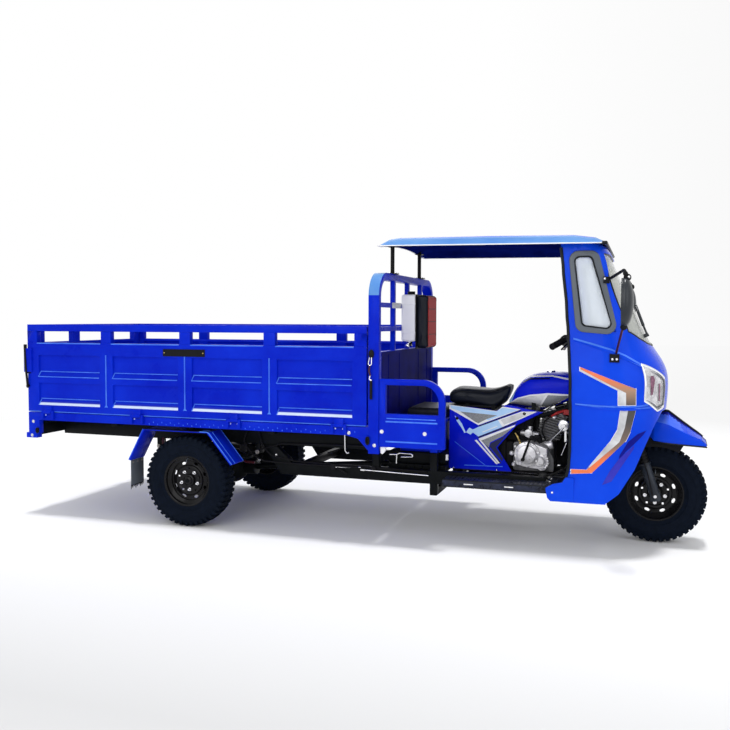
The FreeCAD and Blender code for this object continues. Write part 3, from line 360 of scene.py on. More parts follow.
def drape(piece, skin, middle=None):      # lay a piece made at Y = 0 on the skin
    bpy.context.view_layer.update()
    for vertex in piece.data.vertices:
        spot = onSkin(skin, vertex.co.x, vertex.co.z, middle)
        if spot:
            vertex.co.y += spot.y
    return piece


def rearEdge(skin, z, start, end):      # where the skin begins at this height
    x = start
    while x < end:
        if onSkin(skin, x, z):
            return x
        x += 0.003
    return end


def edgeTube(skin, radius, name, sides=3):      # a bead along the open edge of a skin, which it uses up
    take(skin)
    bpy.ops.object.mode_set(mode="EDIT")
    bpy.ops.mesh.select_mode(type="EDGE")
    bpy.ops.mesh.select_all(action="SELECT")
    bpy.ops.mesh.region_to_loop()
    bpy.ops.mesh.select_all(action="INVERT")
    bpy.ops.mesh.delete(type="EDGE")
    bpy.ops.mesh.select_all(action="SELECT")
    bpy.ops.mesh.delete(type="ONLY_FACE")
    bpy.ops.mesh.select_mode(type="VERT")
    bpy.ops.object.mode_set(mode="OBJECT")
    bpy.ops.object.convert(target="CURVE")
    wire = fresh(name)
    wire.data.bevel_depth = radius
    wire.data.bevel_resolution = sides
    bpy.ops.object.convert(target="MESH")
    return smoothBy(fixNormals(fresh(name)), 60)


def roundOutline(corners, radius, steps=6):      # corner points replaced by arcs
    line = []
    for k, corner in enumerate(corners):
        spot = Vector(corner)
        before = (Vector(corners[k - 1]) - spot).normalized()
        after = (Vector(corners[(k + 1) % len(corners)]) - spot).normalized()
        half = before.angle(after) / 2
        start, end = spot + before * radius / math.tan(half), spot + after * radius / math.tan(half)
        heart = spot + (before + after).normalized() * radius / math.sin(half)
        for step in range(steps + 1):
            share = step / steps
            ray = (start - heart).lerp(end - heart, share).normalized() * radius
            line.append(tuple(heart + ray))
    return line


def shaded(piece, finishName, wanted):      # a second finish on the faces that pass the test
    piece.data.materials.append(finishes[finishName])
    for face in piece.data.polygons:
        if wanted(face):
            face.material_index = len(piece.data.materials) - 1
    return piece


# Finishes
def newFinish(name, color=(0.5, 0.5, 0.5), roughness=0.5, metallic=0.0, coat=0.0, coatRoughness=0.05, specular=0.5,
        alpha=1.0):
    finish = bpy.data.materials.new(name)
    finish.use_nodes = True
    shader = finish.node_tree.nodes["Principled BSDF"]
    shader.inputs["Base Color"].default_value = (*color, 1.0)
    shader.inputs["Roughness"].default_value = roughness
    shader.inputs["Metallic"].default_value = metallic
    shader.inputs["Coat Weight"].default_value = coat
    shader.inputs["Coat Roughness"].default_value = coatRoughness
    shader.inputs["Specular IOR Level"].default_value = specular
    shader.inputs["Alpha"].default_value = alpha
    shader.inputs["IOR"].default_value = 1.45
    return finish


def tools(finish):
    tree = finish.node_tree
    return tree, tree.nodes["Principled BSDF"]


def patternSpot(tree, scale=(1, 1, 1), turn=(0, 0, 0)):
    coords = tree.nodes.new("ShaderNodeTexCoord")
    mapping = tree.nodes.new("ShaderNodeMapping")
    mapping.inputs["Scale"].default_value = scale
    mapping.inputs["Rotation"].default_value = turn
    tree.links.new(coords.outputs["Object"], mapping.inputs["Vector"])
    return mapping.outputs["Vector"]


def grain(tree, spot, scale, detail=4.0, roughness=0.6):
    noise = tree.nodes.new("ShaderNodeTexNoise")
    noise.inputs["Scale"].default_value = scale
    noise.inputs["Detail"].default_value = detail
    noise.inputs["Roughness"].default_value = roughness
    tree.links.new(spot, noise.inputs["Vector"])
    return noise.outputs["Fac"]


def ramp(tree, source, stops):
    node = tree.nodes.new("ShaderNodeValToRGB")
    elements = node.color_ramp.elements
    while len(elements) < len(stops):
        elements.new(0.5)
    for element, (place, color) in zip(elements, stops):
        element.position = place
        element.color = color if len(color) == 4 else (*color, 1.0)
    tree.links.new(source, node.inputs["Fac"])
    return node.outputs["Color"]


def addBump(finish, height, strength, distance):
    tree, shader = tools(finish)
    bump = tree.nodes.new("ShaderNodeBump")
    bump.inputs["Strength"].default_value = strength
    bump.inputs["Distance"].default_value = distance
    tree.links.new(height, bump.inputs["Height"])
    if shader.inputs["Normal"].links:
        tree.links.new(shader.inputs["Normal"].links[0].from_socket, bump.inputs["Normal"])
    tree.links.new(bump.outputs["Normal"], shader.inputs["Normal"])
    return finish


def grained(finish, scale, strength, distance=0.001, detail=4.0):
    tree = finish.node_tree
    return addBump(finish, grain(tree, patternSpot(tree), scale, detail), strength, distance)


def mottled(finish, dark, light, scale, rough=None):      # uneven colour, and uneven gloss
    tree, shader = tools(finish)
    noise = grain(tree, patternSpot(tree), scale, 6.0)
    tree.links.new(ramp(tree, noise, [(0.3, dark), (0.7, light)]), shader.inputs["Base Color"])
    if rough:
        gloss = ramp(tree, noise, [(0.3, (rough[0],) * 3), (0.7, (rough[1],) * 3)])
        tree.links.new(gloss, shader.inputs["Roughness"])
    return finish


def math2(tree, kind, a, b=None, c=None):
    node = tree.nodes.new("ShaderNodeMath")
    node.operation = kind
    for socket, value in zip(node.inputs, (a, b, c)):
        if value is None:
            continue
        if isinstance(value, (int, float)):
            socket.default_value = value
        else:
            tree.links.new(value, socket)
    return node.outputs[0]


finishLooks = {      # uneven: dark, light, scale, gloss range; grain: scale, strength, depth
    "bluePaint": {"coat": 0.03, "coatRoughness": 0.1, "specular": 0.04,
        "uneven": ((0.001, 0.01, 0.44), (0.003, 0.026, 0.58), 3.0, (0.24, 0.36))},
    "bluePlastic": {"coat": 0.05, "coatRoughness": 0.04, "specular": 0.06,
        "uneven": ((0.002, 0.044, 0.62), (0.005, 0.066, 0.74), 2.0, (0.18, 0.24))},
    # painted sky reflection on the roof's sides and the hoop's outer bend
    "skyReflectBlue": {"roughness": 0.3, "specular": 0.06, "uneven": ((0.06, 0.2, 0.58), (0.14, 0.32, 0.64), 3.0)},
    # painted highlight on ribs, lips, ridges and the upward faces of creases
    "shineBlue": {"roughness": 0.3, "coat": 0.05, "specular": 0.1,
        "uneven": ((0.03, 0.12, 0.74), (0.09, 0.26, 0.86), 9.0)},
    "deepBlue": {"roughness": 0.3, "specular": 0.06, "uneven": ((0.003, 0.004, 0.16), (0.008, 0.014, 0.3), 5.0)},
    "violetBlue": {"roughness": 0.28, "specular": 0.08, "uneven": ((0.02, 0.02, 0.34), (0.05, 0.05, 0.5), 6.0)},
    "brightAlloy": {"metallic": 0.5, "uneven": ((0.6, 0.59, 0.62), (0.9, 0.89, 0.92), 22, (0.24, 0.4)),
        "grain": (400, 0.1, 0.0006)},
    "boardRubber": {"specular": 0.25, "uneven": ((0.003, 0.004, 0.008), (0.022, 0.028, 0.06), 45, (0.2, 0.5)),
        "grain": (300, 0.5, 0.001)},
    # painted reflection on the pressings' slopes; the hinge screws take it too
    "ledgeGlare": {"color": (0.34, 0.52, 0.9), "roughness": 0.3, "coat": 0.1, "specular": 0.1},
    "coverBlue": {"coat": 0.05, "coatRoughness": 0.04, "specular": 0.06,
        "uneven": ((0.002, 0.008, 0.54), (0.005, 0.018, 0.68), 2.0, (0.18, 0.24))},
    # painted shade on the headboard sheet
    "sheetShade": {"roughness": 0.55, "specular": 0.02, "uneven": ((0.001, 0.001, 0.07), (0.003, 0.005, 0.19), 5.0)},
    # painted highlight on the fender's upper facet and the sill dots
    "fenderShine": {"roughness": 0.26, "coat": 0.05, "specular": 0.1,
        "uneven": ((0.015, 0.07, 0.74), (0.06, 0.18, 0.86), 7.0)},
    "sleeveGrey": {"specular": 0.3, "uneven": ((0.012, 0.016, 0.024), (0.032, 0.04, 0.058), 12, (0.3, 0.44))},
    # painted shade on the roof's underside
    "underShade": {"roughness": 0.7, "specular": 0.0, "uneven": ((0.001, 0.004, 0.07), (0.003, 0.01, 0.15), 6.0)},
    "blackPaint": {"coat": 0.04, "specular": 0.1,
        "uneven": ((0.005, 0.005, 0.006), (0.009, 0.009, 0.01), 9.0, (0.3, 0.42))},
    "blackPlastic": {"color": (0.007, 0.007, 0.009), "roughness": 0.5, "specular": 0.12,
        "grain": (900, 0.25, 0.0006)},
    "tyreRubber": {"specular": 0.05, "uneven": ((0.002, 0.004, 0.009), (0.005, 0.008, 0.016), 30, (0.6, 0.8)),
        "grain": (500, 0.2, 0.0008)},
    "sealRubber": {"color": (0.1, 0.115, 0.135), "roughness": 0.42, "specular": 0.35, "grain": (500, 0.1, 0.0005)},
    "edgeRubber": {"color": (0.006, 0.008, 0.01), "roughness": 0.38, "specular": 0.2, "grain": (500, 0.1, 0.0005)},
    "seatVinyl": {"color": (0.006, 0.008, 0.014), "roughness": 0.4, "specular": 0.2, "grain": (650, 0.35, 0.0008)},
    "redVinyl": {"color": (0.42, 0.008, 0.012), "roughness": 0.5, "specular": 0.1, "grain": (650, 0.3, 0.0008)},
    "clearGlass": {"roughness": 0.03, "specular": 0.5, "alpha": 0.55,
        "uneven": ((0.76, 0.83, 0.9), (0.84, 0.89, 0.94), 1.5)},
    "screenGlass": {"roughness": 0.05, "specular": 0.5, "alpha": 0.62,
        "uneven": ((0.42, 0.44, 0.4), (0.58, 0.59, 0.55), 2.5)},
    "lampLens": {"color": (0.95, 0.95, 0.97), "roughness": 0.03, "specular": 0.5, "alpha": 0.22,
        "grain": (90, 0.1, 0.001)},
    "lampBowl": {"roughness": 0.14, "metallic": 0.6, "uneven": ((0.25, 0.24, 0.27), (0.92, 0.92, 0.94), 24),
        "grain": (60, 0.35, 0.003)},
    "lampRim": {"color": (0.16, 0.17, 0.19), "roughness": 0.1, "metallic": 0.9, "grain": (12, 0.02, 0.002)},
    "lampTint": {"roughness": 0.25, "uneven": ((0.05, 0.012, 0.03), (0.3, 0.12, 0.2), 40)},
    "redLens": {"color": (0.45, 0.01, 0.01), "roughness": 0.15, "coat": 0.6, "grain": (220, 0.3, 0.001)},
    "amberLens": {"color": (0.8, 0.22, 0.01), "roughness": 0.15, "coat": 0.6, "grain": (220, 0.3, 0.001)},
    "castAlloy": {"metallic": 0.85, "uneven": ((0.36, 0.36, 0.38), (0.66, 0.66, 0.68), 25, (0.3, 0.48)),
        "grain": (400, 0.12, 0.0008)},
    "darkAlloy": {"metallic": 0.6, "uneven": ((0.04, 0.04, 0.045), (0.17, 0.17, 0.18), 20, (0.34, 0.55)),
        "grain": (400, 0.15, 0.0008)},
    "brightSteel": {"color": (0.72, 0.72, 0.74), "roughness": 0.16, "metallic": 1.0, "grain": (700, 0.06, 0.0004)},
    "dullSteel": {"metallic": 0.9, "uneven": ((0.26, 0.24, 0.22), (0.42, 0.4, 0.38), 20, (0.38, 0.55))},
    "chrome": {"color": (0.85, 0.86, 0.88), "roughness": 0.06, "metallic": 1.0, "grain": (12, 0.02, 0.002)},
    "whiteTank": {"specular": 0.3, "uneven": ((0.84, 0.84, 0.87), (0.91, 0.91, 0.92), 7.0, (0.3, 0.42))},
    "chassisPaint": {"specular": 0.08, "uneven": ((0.002, 0.003, 0.004), (0.006, 0.007, 0.008), 14, (0.36, 0.52))},
    "silverFilm": {"roughness": 0.3, "metallic": 0.2, "coat": 0.2,
        "uneven": ((0.36, 0.37, 0.39), (0.74, 0.75, 0.77), 9.0)},
    "whiteFilm": {"roughness": 0.3, "coat": 0.3, "uneven": ((0.76, 0.76, 0.78), (0.84, 0.84, 0.85), 12.0)},
    "rimPaint": {"coat": 0.12, "coatRoughness": 0.06, "specular": 0.12,
        "uneven": ((0.003, 0.003, 0.004), (0.006, 0.006, 0.007), 20, (0.16, 0.28))},
    "greyFilm": {"roughness": 0.35, "coat": 0.3, "uneven": ((0.1, 0.11, 0.12), (0.32, 0.33, 0.35), 260),
        "grain": (300, 0.05)},
    "skyFilm": {"roughness": 0.28, "coat": 0.3, "uneven": ((0.24, 0.5, 0.86), (0.5, 0.7, 0.94), 5.0)},
    "emberFilm": {"color": (0.6, 0.2, 0.1), "roughness": 0.3, "coat": 0.3},
    "darkFilm": {"roughness": 0.3, "coat": 0.2, "specular": 0.2,
        "uneven": ((0.002, 0.003, 0.03), (0.004, 0.007, 0.07), 9.0)},
    "brass": {"color": (0.75, 0.55, 0.18), "roughness": 0.3, "metallic": 1.0, "grain": (500, 0.1, 0.0005)},
    "redRubber": {"color": (0.35, 0.01, 0.01), "roughness": 0.45, "grain": (500, 0.15, 0.0005)},
    "stemBrown": {"color": (0.045, 0.004, 0.008), "roughness": 0.3, "specular": 0.4, "grain": (500, 0.1, 0.0005)},
    "mirrorShell": {"color": (0.016, 0.02, 0.026), "roughness": 0.3, "specular": 0.4, "grain": (800, 0.12, 0.0005)},
    "mirrorGlass": {"color": (0.8, 0.82, 0.84), "roughness": 0.02, "metallic": 1.0, "grain": (8, 0.01, 0.001)},
}
finishes = {}
for name, look in finishLooks.items():
    values = {key: value for key, value in look.items() if key not in ("uneven", "grain")}
    finishes[name] = newFinish(name, **values)
    if "uneven" in look:
        mottled(finishes[name], *look["uneven"])
    if "grain" in look:
        grained(finishes[name], *look["grain"])
slotFinish = {
    "blue_paint": "bluePaint", "blue_plastic": "bluePlastic", "black_paint": "blackPaint",
        "black_plastic": "blackPlastic",
    "tyre_rubber": "tyreRubber", "seal_rubber": "sealRubber", "seat_vinyl": "seatVinyl", "red_vinyl": "redVinyl",
    "clear_glass": "clearGlass", "lamp_lens": "lampLens", "red_lens": "redLens", "cast_alloy": "castAlloy",
    "bright_steel": "brightSteel", "white_tank": "whiteTank", "chassis_paint": "chassisPaint",
}


def coat(piece, finishName):
    piece.data.materials.clear()
    piece.data.materials.append(finishes[finishName])
    return piece


def fit(piece, body, finishName=None, replaced=()):      # the last step of every new piece
    if finishName:
        coat(piece, finishName)
    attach(piece, body)
    if replaced:
        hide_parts(*replaced)
    return piece


def put(pieces, name, finishName, body="chassis"):      # join small pieces and fit them
    return fit(joinAll(pieces, name), body, finishName)


def putBoth(pieces, name, finishName, body="chassis"):      # the same with a left-hand twin
    return put([bothSides(joinAll(pieces, name))], name, finishName, body)


def softCopy(node, name, edge, segments=2):      # a node's own form with its edges rounded
    piece = copyNode(node, name)
    if edge:
        softenEdges(piece, edge, segments)
    return smoothBy(piece, 35)


# a node in its finish, with a second one where a test says so
def dressed(node, name, finishName, edge, shades=(), segments=2):
    piece = coat(softCopy(node, name, edge, segments), finishName)
    for extra, wanted in shades:
        shaded(piece, extra, wanted)
    return fit(piece, nodeBody[node], None, (node,))


# Stage
plainWhite = (1.0, 1.0, 1.0)
stage = {
    "floor": (0.9, 0.9, 0.9), "floorShade": (0.57, 0.57, 0.57), "band": (0.22, 0.58, 0.75, 1.0),
    "glowShade": (0.78, 0.78, 0.78), "glowBand": (0.22, 0.6, 0.75, 1.0),
    "fade": (3.2, 7.0), "world": 0.6, "horizon": [(0.42, plainWhite), (0.62, (0.92, 0.92, 0.92))],
}      # the bands run from under the vehicle towards the camera, where a painted shade darkens the floor; the horizon ramp is a painted shade that greys the backdrop to the right
camera = {"place": (1.7995, -5.234, 1.321), "azimuth": 18.73, "pitch": 2.86, "roll": -0.12, "lens": 41.015,
        "shift": (0.00308, -0.00612)}
lamps = [
    ("keyLamp", (-0.5, -7.5, 4.0), (0.2, 0.0, 0.8), 6.0, 210),
    ("fillLamp", (6.5, -4.5, 3.0), (0.8, 0.0, 0.8), 5.0, 90),
    ("backLamp", (-2.0, 6.5, 4.0), (0.0, 0.0, 0.8), 6.0, 90),
]
sun = {"place": (0.0, 0.0, 8.0), "turn": (-0.02, 0.0, 0.0), "energy": 1.75, "angle": 0.12}


def seenDirectly(tree):      # 1 where the camera, a gloss or a glass looks
    path = tree.nodes.new("ShaderNodeLightPath")
    mirrored = math2(tree, "MAXIMUM", path.outputs["Is Glossy Ray"], path.outputs["Is Transmission Ray"])
    return math2(tree, "MAXIMUM", path.outputs["Is Camera Ray"], mirrored)


def towards(tree, direction):      # the backdrop's tone in a direction, greyed to one side as painted shade
    apart = tree.nodes.new("ShaderNodeSeparateXYZ")
    tree.links.new(direction, apart.inputs[0])
    return ramp(tree, math2(tree, "MULTIPLY_ADD", apart.outputs["X"], 0.5, 0.5), stage["horizon"])


def buildStage():
    clearSelection()
    bpy.ops.mesh.primitive_plane_add(size=80.0, location=(0, 0, 0))
    floor = fresh("floor")
    finish = newFinish("floorFinish", stage["floor"], 0.9, specular=0.1)
    tree, shader = tools(finish)
    glow = tree.nodes.new("ShaderNodeEmission")
    coords = tree.nodes.new("ShaderNodeTexCoord")
    apart = tree.nodes.new("ShaderNodeSeparateXYZ")
    tree.links.new(coords.outputs["Object"], apart.inputs[0])
    near = math2(tree, "MULTIPLY", apart.outputs["Y"], -0.2)
    # a painted shade darkens the floor in a band towards the camera
    tree.links.new(ramp(tree, near,
            list(zip(stage["band"], (stage["floor"], stage["floorShade"], stage["floorShade"], stage["floor"])))),
            shader.inputs["Base Color"])
    aim = tree.nodes.new("ShaderNodeVectorMath")      # the floor far off takes the backdrop's tone
    aim.operation = "NORMALIZE"
    tree.links.new(coords.outputs["Object"], aim.inputs[0])
    tone = towards(tree, aim.outputs[0])
    shade = tree.nodes.new("ShaderNodeMix")
    shade.data_type, shade.blend_type = "RGBA", "MULTIPLY"
    shade.inputs[0].default_value = 1.0
    tree.links.new(tone, shade.inputs[6])
    # the floor's glow darkens in the same band, painted shade
    tree.links.new(ramp(tree, near,
            list(zip(stage["glowBand"], (plainWhite, stage["glowShade"], stage["glowShade"], plainWhite)))),
            shade.inputs[7])
    tree.links.new(shade.outputs[2], glow.inputs["Color"])
    reach = tree.nodes.new("ShaderNodeVectorMath")
    reach.operation = "LENGTH"
    tree.links.new(coords.outputs["Object"], reach.inputs[0])
    away = tree.nodes.new("ShaderNodeMapRange")
    away.inputs["From Min"].default_value, away.inputs["From Max"].default_value = stage["fade"]
    tree.links.new(reach.outputs["Value"], away.inputs["Value"])
    mix = tree.nodes.new("ShaderNodeMixShader")
    tree.links.new(math2(tree, "MULTIPLY", seenDirectly(tree), away.outputs["Result"]), mix.inputs["Fac"])
    tree.links.new(shader.outputs[0], mix.inputs[1])
    tree.links.new(glow.outputs[0], mix.inputs[2])
    tree.links.new(mix.outputs[0], tree.nodes["Material Output"].inputs["Surface"])
    floor.data.materials.append(finish)

    world = bpy.data.worlds.new("studio")
    bpy.context.scene.world = world
    world.use_nodes = True
    tree = world.node_tree
    back = tree.nodes["Background"]
    back.inputs["Color"].default_value = (0.97, 0.98, 1.0, 1.0)
    back.inputs["Strength"].default_value = stage["world"]
    white = tree.nodes.new("ShaderNodeBackground")
    sky = tree.nodes.new("ShaderNodeTexCoord")
    tree.links.new(towards(tree, sky.outputs["Generated"]), white.inputs["Color"])
    mix = tree.nodes.new("ShaderNodeMixShader")
    tree.links.new(seenDirectly(tree), mix.inputs["Fac"])
    tree.links.new(back.outputs[0], mix.inputs[1])
    tree.links.new(white.outputs[0], mix.inputs[2])
    tree.links.new(mix.outputs[0], tree.nodes["World Output"].inputs["Surface"])

    for name, place, target, size, power in lamps:
        bpy.ops.object.light_add(type="AREA", location=place)
        lamp = fresh(name)
        lamp.data.size = size
        lamp.data.energy = power
        lamp.rotation_euler = (Vector(target) - Vector(place)).to_track_quat("-Z", "Y").to_euler()

    bpy.ops.object.light_add(type="SUN", location=sun["place"], rotation=sun["turn"])
    high = fresh("sunLamp")
    high.data.energy, high.data.angle = sun["energy"], sun["angle"]

    bpy.ops.object.camera_add(location=camera["place"])
    eye = fresh("camera")
    eye.rotation_mode = "XYZ"
    eye.rotation_euler = (math.radians(90 - camera["pitch"]), math.radians(camera["roll"]),
            math.radians(camera["azimuth"]))
    eye.data.lens = camera["lens"]
    eye.data.sensor_width = 36.0
    eye.data.shift_x, eye.data.shift_y = camera["shift"]
    bpy.context.scene.camera = eye
    bpy.context.scene.view_settings.view_transform = "Standard"
    print("stage ready")


# Wheels
tyreSizes = {"radius": 0.29, "bead": 0.1545, "lugs": 46, "lugDepth": 0.01}
wheelSpots = {"front": (frontAxleX, 0.0), "rear_right": (rearAxleX, -0.5775)}


def buildTyre(name, centre, body, node):
    r, bead, deep = tyreSizes["radius"], tyreSizes["bead"], tyreSizes["lugDepth"]
    shell = [
        (bead, -0.05), (bead + 0.012, -0.0565), (0.176, -0.0595), (0.184, -0.0645), (0.1865, -0.0668),
            (0.1895, -0.0668), (0.192, -0.066), (0.205, -0.0685), (0.228, -0.0696), (0.23, -0.0708), (0.2345, -0.0708),
            (0.236, -0.0695),
        (0.252, -0.0665), (0.266, -0.0605), (r - deep - 0.003, -0.054), (r - deep, -0.03), (r - deep + 0.001, 0.0),
    ]
    profile = shell + [(a, -b) for a, b in reversed(shell[:-1])]
    carcass = makeRound(profile, centre, steps=72, angle=28)
    count = tyreSizes["lugs"]
    lug = makePlate([(-0.0105, 0.0325), (-0.01, 0.0665), (0.01, 0.0665), (0.0105, 0.0325)], "z", 0.0, 1.0, edge=0)
    heights = {0: (r - deep - 0.004, r - 0.0005), 1: (r - deep - 0.022, r - 0.006)}
    for vertex in lug.data.vertices:
        outer = vertex.co.y > 0.05
        low, high = heights[1 if outer else 0]
        vertex.co.z = high if vertex.co.z > 0.5 else low
    softenEdges(lug, 0.0015, 1)
    rib = makePlate([(-0.0125, -0.012), (-0.0065, 0.012), (0.0125, 0.012), (0.0065, -0.012)], "z", r - deep - 0.003, r,
            edge=0.001, segments=1)
    midRib = makePlate([(-0.0105, 0.0165), (-0.0105, 0.0285), (0.0105, 0.0285), (0.0105, 0.0165)], "z",
            r - deep - 0.003, r, edge=0.001, segments=1)
    parts = [carcass]
    for step in range(count):
        for piece, shift, sides in ((lug, 0.0, (1, -1)), (midRib, 0.12, (1, -1)), (rib, 0.06, (1,))):
            for side in sides:
                angle = 2 * math.pi * (step + shift * side) / count
                copy = duplicate(piece)
                flip = Matrix.Rotation(math.pi, 4, "Z") if side < 0 else Matrix.Identity(4)
                copy.data.transform(Matrix.Translation(centre) @ Matrix.Rotation(angle, 4, "Y") @ flip)
                parts.append(copy)
    for piece in (lug, rib, midRib):
        bpy.data.objects.remove(piece)
    tyre = joinAll(parts, name)
    return fit(tyre, body, "tyreRubber", (node,))


rimSizes = {"flange": 0.1645, "bead": 0.154, "well": 0.1305, "half": 0.056, "slotCircle": 0.1125, "nutCircle": 0.06,
        "holeCircle": 0.0765}


def buildRim(name, centre, body, node, openHub):      # its outer side faces -Y
    f, bead, well, h = rimSizes["flange"], rimSizes["bead"], rimSizes["well"], rimSizes["half"]
    outer = [(bead + 0.001, -h), (f - 0.003, -h), (f, -h + 0.0025), (f, -h + 0.0045), (bead + 0.002, -h + 0.0045),
            (bead, -h + 0.006),
             (bead, -0.031), (bead - 0.004, -0.028), (well + 0.003, -0.018), (well, -0.014)]
    inner = [(well - 0.004, -0.013), (well - 0.002, -0.021), (bead - 0.008, -0.031), (bead - 0.0045, -0.034),
            (bead - 0.0045, -h + 0.004)]
    back = [(a, -b) for a, b in reversed(outer)] + [(a, -b) for a, b in reversed(inner)]
    band = makeRound(outer + back + inner, centre, steps=72, angle=30)
    face = [(0.03, -0.013), (0.046, -0.0155), (0.072, -0.0155), (0.079, -0.0205), (0.0865, -0.0215), (0.093, -0.019),
            (0.0985, -0.0115),
            (0.104, -0.0095), (0.121, -0.0085), (0.125, -0.0115), (0.1268, -0.0115)]
    disc = makeRound(face + [(a, b + 0.0042) for a, b in reversed(face)], centre, steps=72, angle=30)
    holes = []
    for step in range(8):
        degrees = 45 * step + 22.5
        hole = makeBar((0, -0.05, 0), (0, 0.05, 0), 1.0, sides=20)
        spot = centre + beside(degrees, rimSizes["slotCircle"])
        place = Matrix.Translation(spot) @ Matrix.Rotation(-math.radians(degrees), 4, "Y")
        hole.data.transform(place @ Matrix.Diagonal((0.0085, 1, 0.0155, 1)))
        holes.append(hole)
    for step in range(5):
        spot = beside(72 * step + 306, rimSizes["holeCircle"]) + centre
        holes.append(makeBar(spot + Vector((0, -0.05, 0)), spot + Vector((0, 0.05, 0)), 0.0062, sides=14))
    cutBy(disc, holes)
    softenEdges(disc, 0.0008, 1, 50)
    if openHub:
        hubLine = [(0.0125, -0.0475), (0.021, -0.0475), (0.024, -0.044), (0.024, -0.028), (0.033, -0.024),
                (0.038, -0.014), (0.041, 0.0),
                   (0.041, 0.03), (0.036, 0.034), (0.03, 0.04), (0.028, 0.0475), (0.0125, 0.0475)]
    else:
        hubLine = [(0.0, -0.0455), (0.012, -0.045), (0.022, -0.0425), (0.027, -0.038), (0.028, -0.03), (0.036, -0.026),
                (0.041, -0.014),
                   (0.041, 0.04), (0.038, 0.0475), (0.0, 0.0475)]
    hub = makeRound(hubLine, centre, steps=40, angle=30)
    bolt = hexBolt(0.0072, 0.014)
    nuts = []
    for step in range(5):
        spot = beside(72 * step + 270, rimSizes["nutCircle"])
        nuts.append((centre + spot + Vector((0, -0.0155, 0)), outwards))
    valve = makeTube([centre + Vector(p) for p in ((0.0, -0.03, 0.142), (0.0, -0.05, 0.133), (0.0, -0.0545, 0.12))],
            0.0028, 0.006)
    rim = joinAll([band, disc, hub], name)
    fit(rim, body, "rimPaint", (node,))
    return rim, scatter(bolt, nuts, name + "_nuts"), coat(valve, "sealRubber")


def buildWheels():
    for key in ("front", "rear_right"):
        x, y = wheelSpots[key]
        centre = Vector((x, y, axleZ))
        front = key == "front"
        body = "front_wheel" if front else "rear_wheel_right"
        tyre = buildTyre("tyre_" + key, centre, body, "front_tyre" if front else "rear_tyre_right")
        rim, nuts, valve = buildRim("rim_" + key, centre, body, "front_rim" if front else "rear_rim_right", front)
        fit(nuts, body, "brightSteel")
        fit(valve, body)
        valve.name = "valve_" + key
        if front:
            continue
        for piece, slot, node in ((tyre, "tyre_rubber", "rear_tyre_left"), (rim, "black_paint", "rear_rim_left"),
                (nuts, "bright_steel", None), (valve, "seal_rubber", None)):
            twin = bareTwin(piece, piece.name.replace("right", "left"))
            fit(twin, "rear_wheel_left", None, (node,) if node else ())
    print("wheels ready")


# Graphics on the cab, the side covers and the tank
cabGraphics = {
    "silver": [
        [(1.464, 1.046), (1.464, 1.034), (1.666, 0.931), (1.708, 0.919)],
            [(1.666, 0.931), (1.708, 0.919), (1.709, 0.852), (1.668, 0.852)],
        [(1.68, 0.823), (1.72, 0.823), (1.704, 0.725), (1.666, 0.713)],
            [(1.666, 0.713), (1.704, 0.725), (1.678, 0.649), (1.636, 0.66)],
        [(1.636, 0.66), (1.678, 0.649), (1.53, 0.491), (1.509, 0.494)],
    ],
    "ember": [
        [(1.464, 1.058), (1.464, 1.046), (1.708, 0.919), (1.759, 0.941)],
            [(1.708, 0.919), (1.759, 0.941), (1.759, 0.852), (1.709, 0.852)],
        [(1.72, 0.823), (1.76, 0.823), (1.732, 0.701), (1.704, 0.725)],
            [(1.704, 0.725), (1.732, 0.701), (1.711, 0.655), (1.678, 0.649)],
        [(1.678, 0.649), (1.711, 0.655), (1.534, 0.471), (1.508, 0.488)],
            [(1.424, 0.486), (1.52, 0.488), (1.534, 0.471), (1.424, 0.461)],
    ],
}
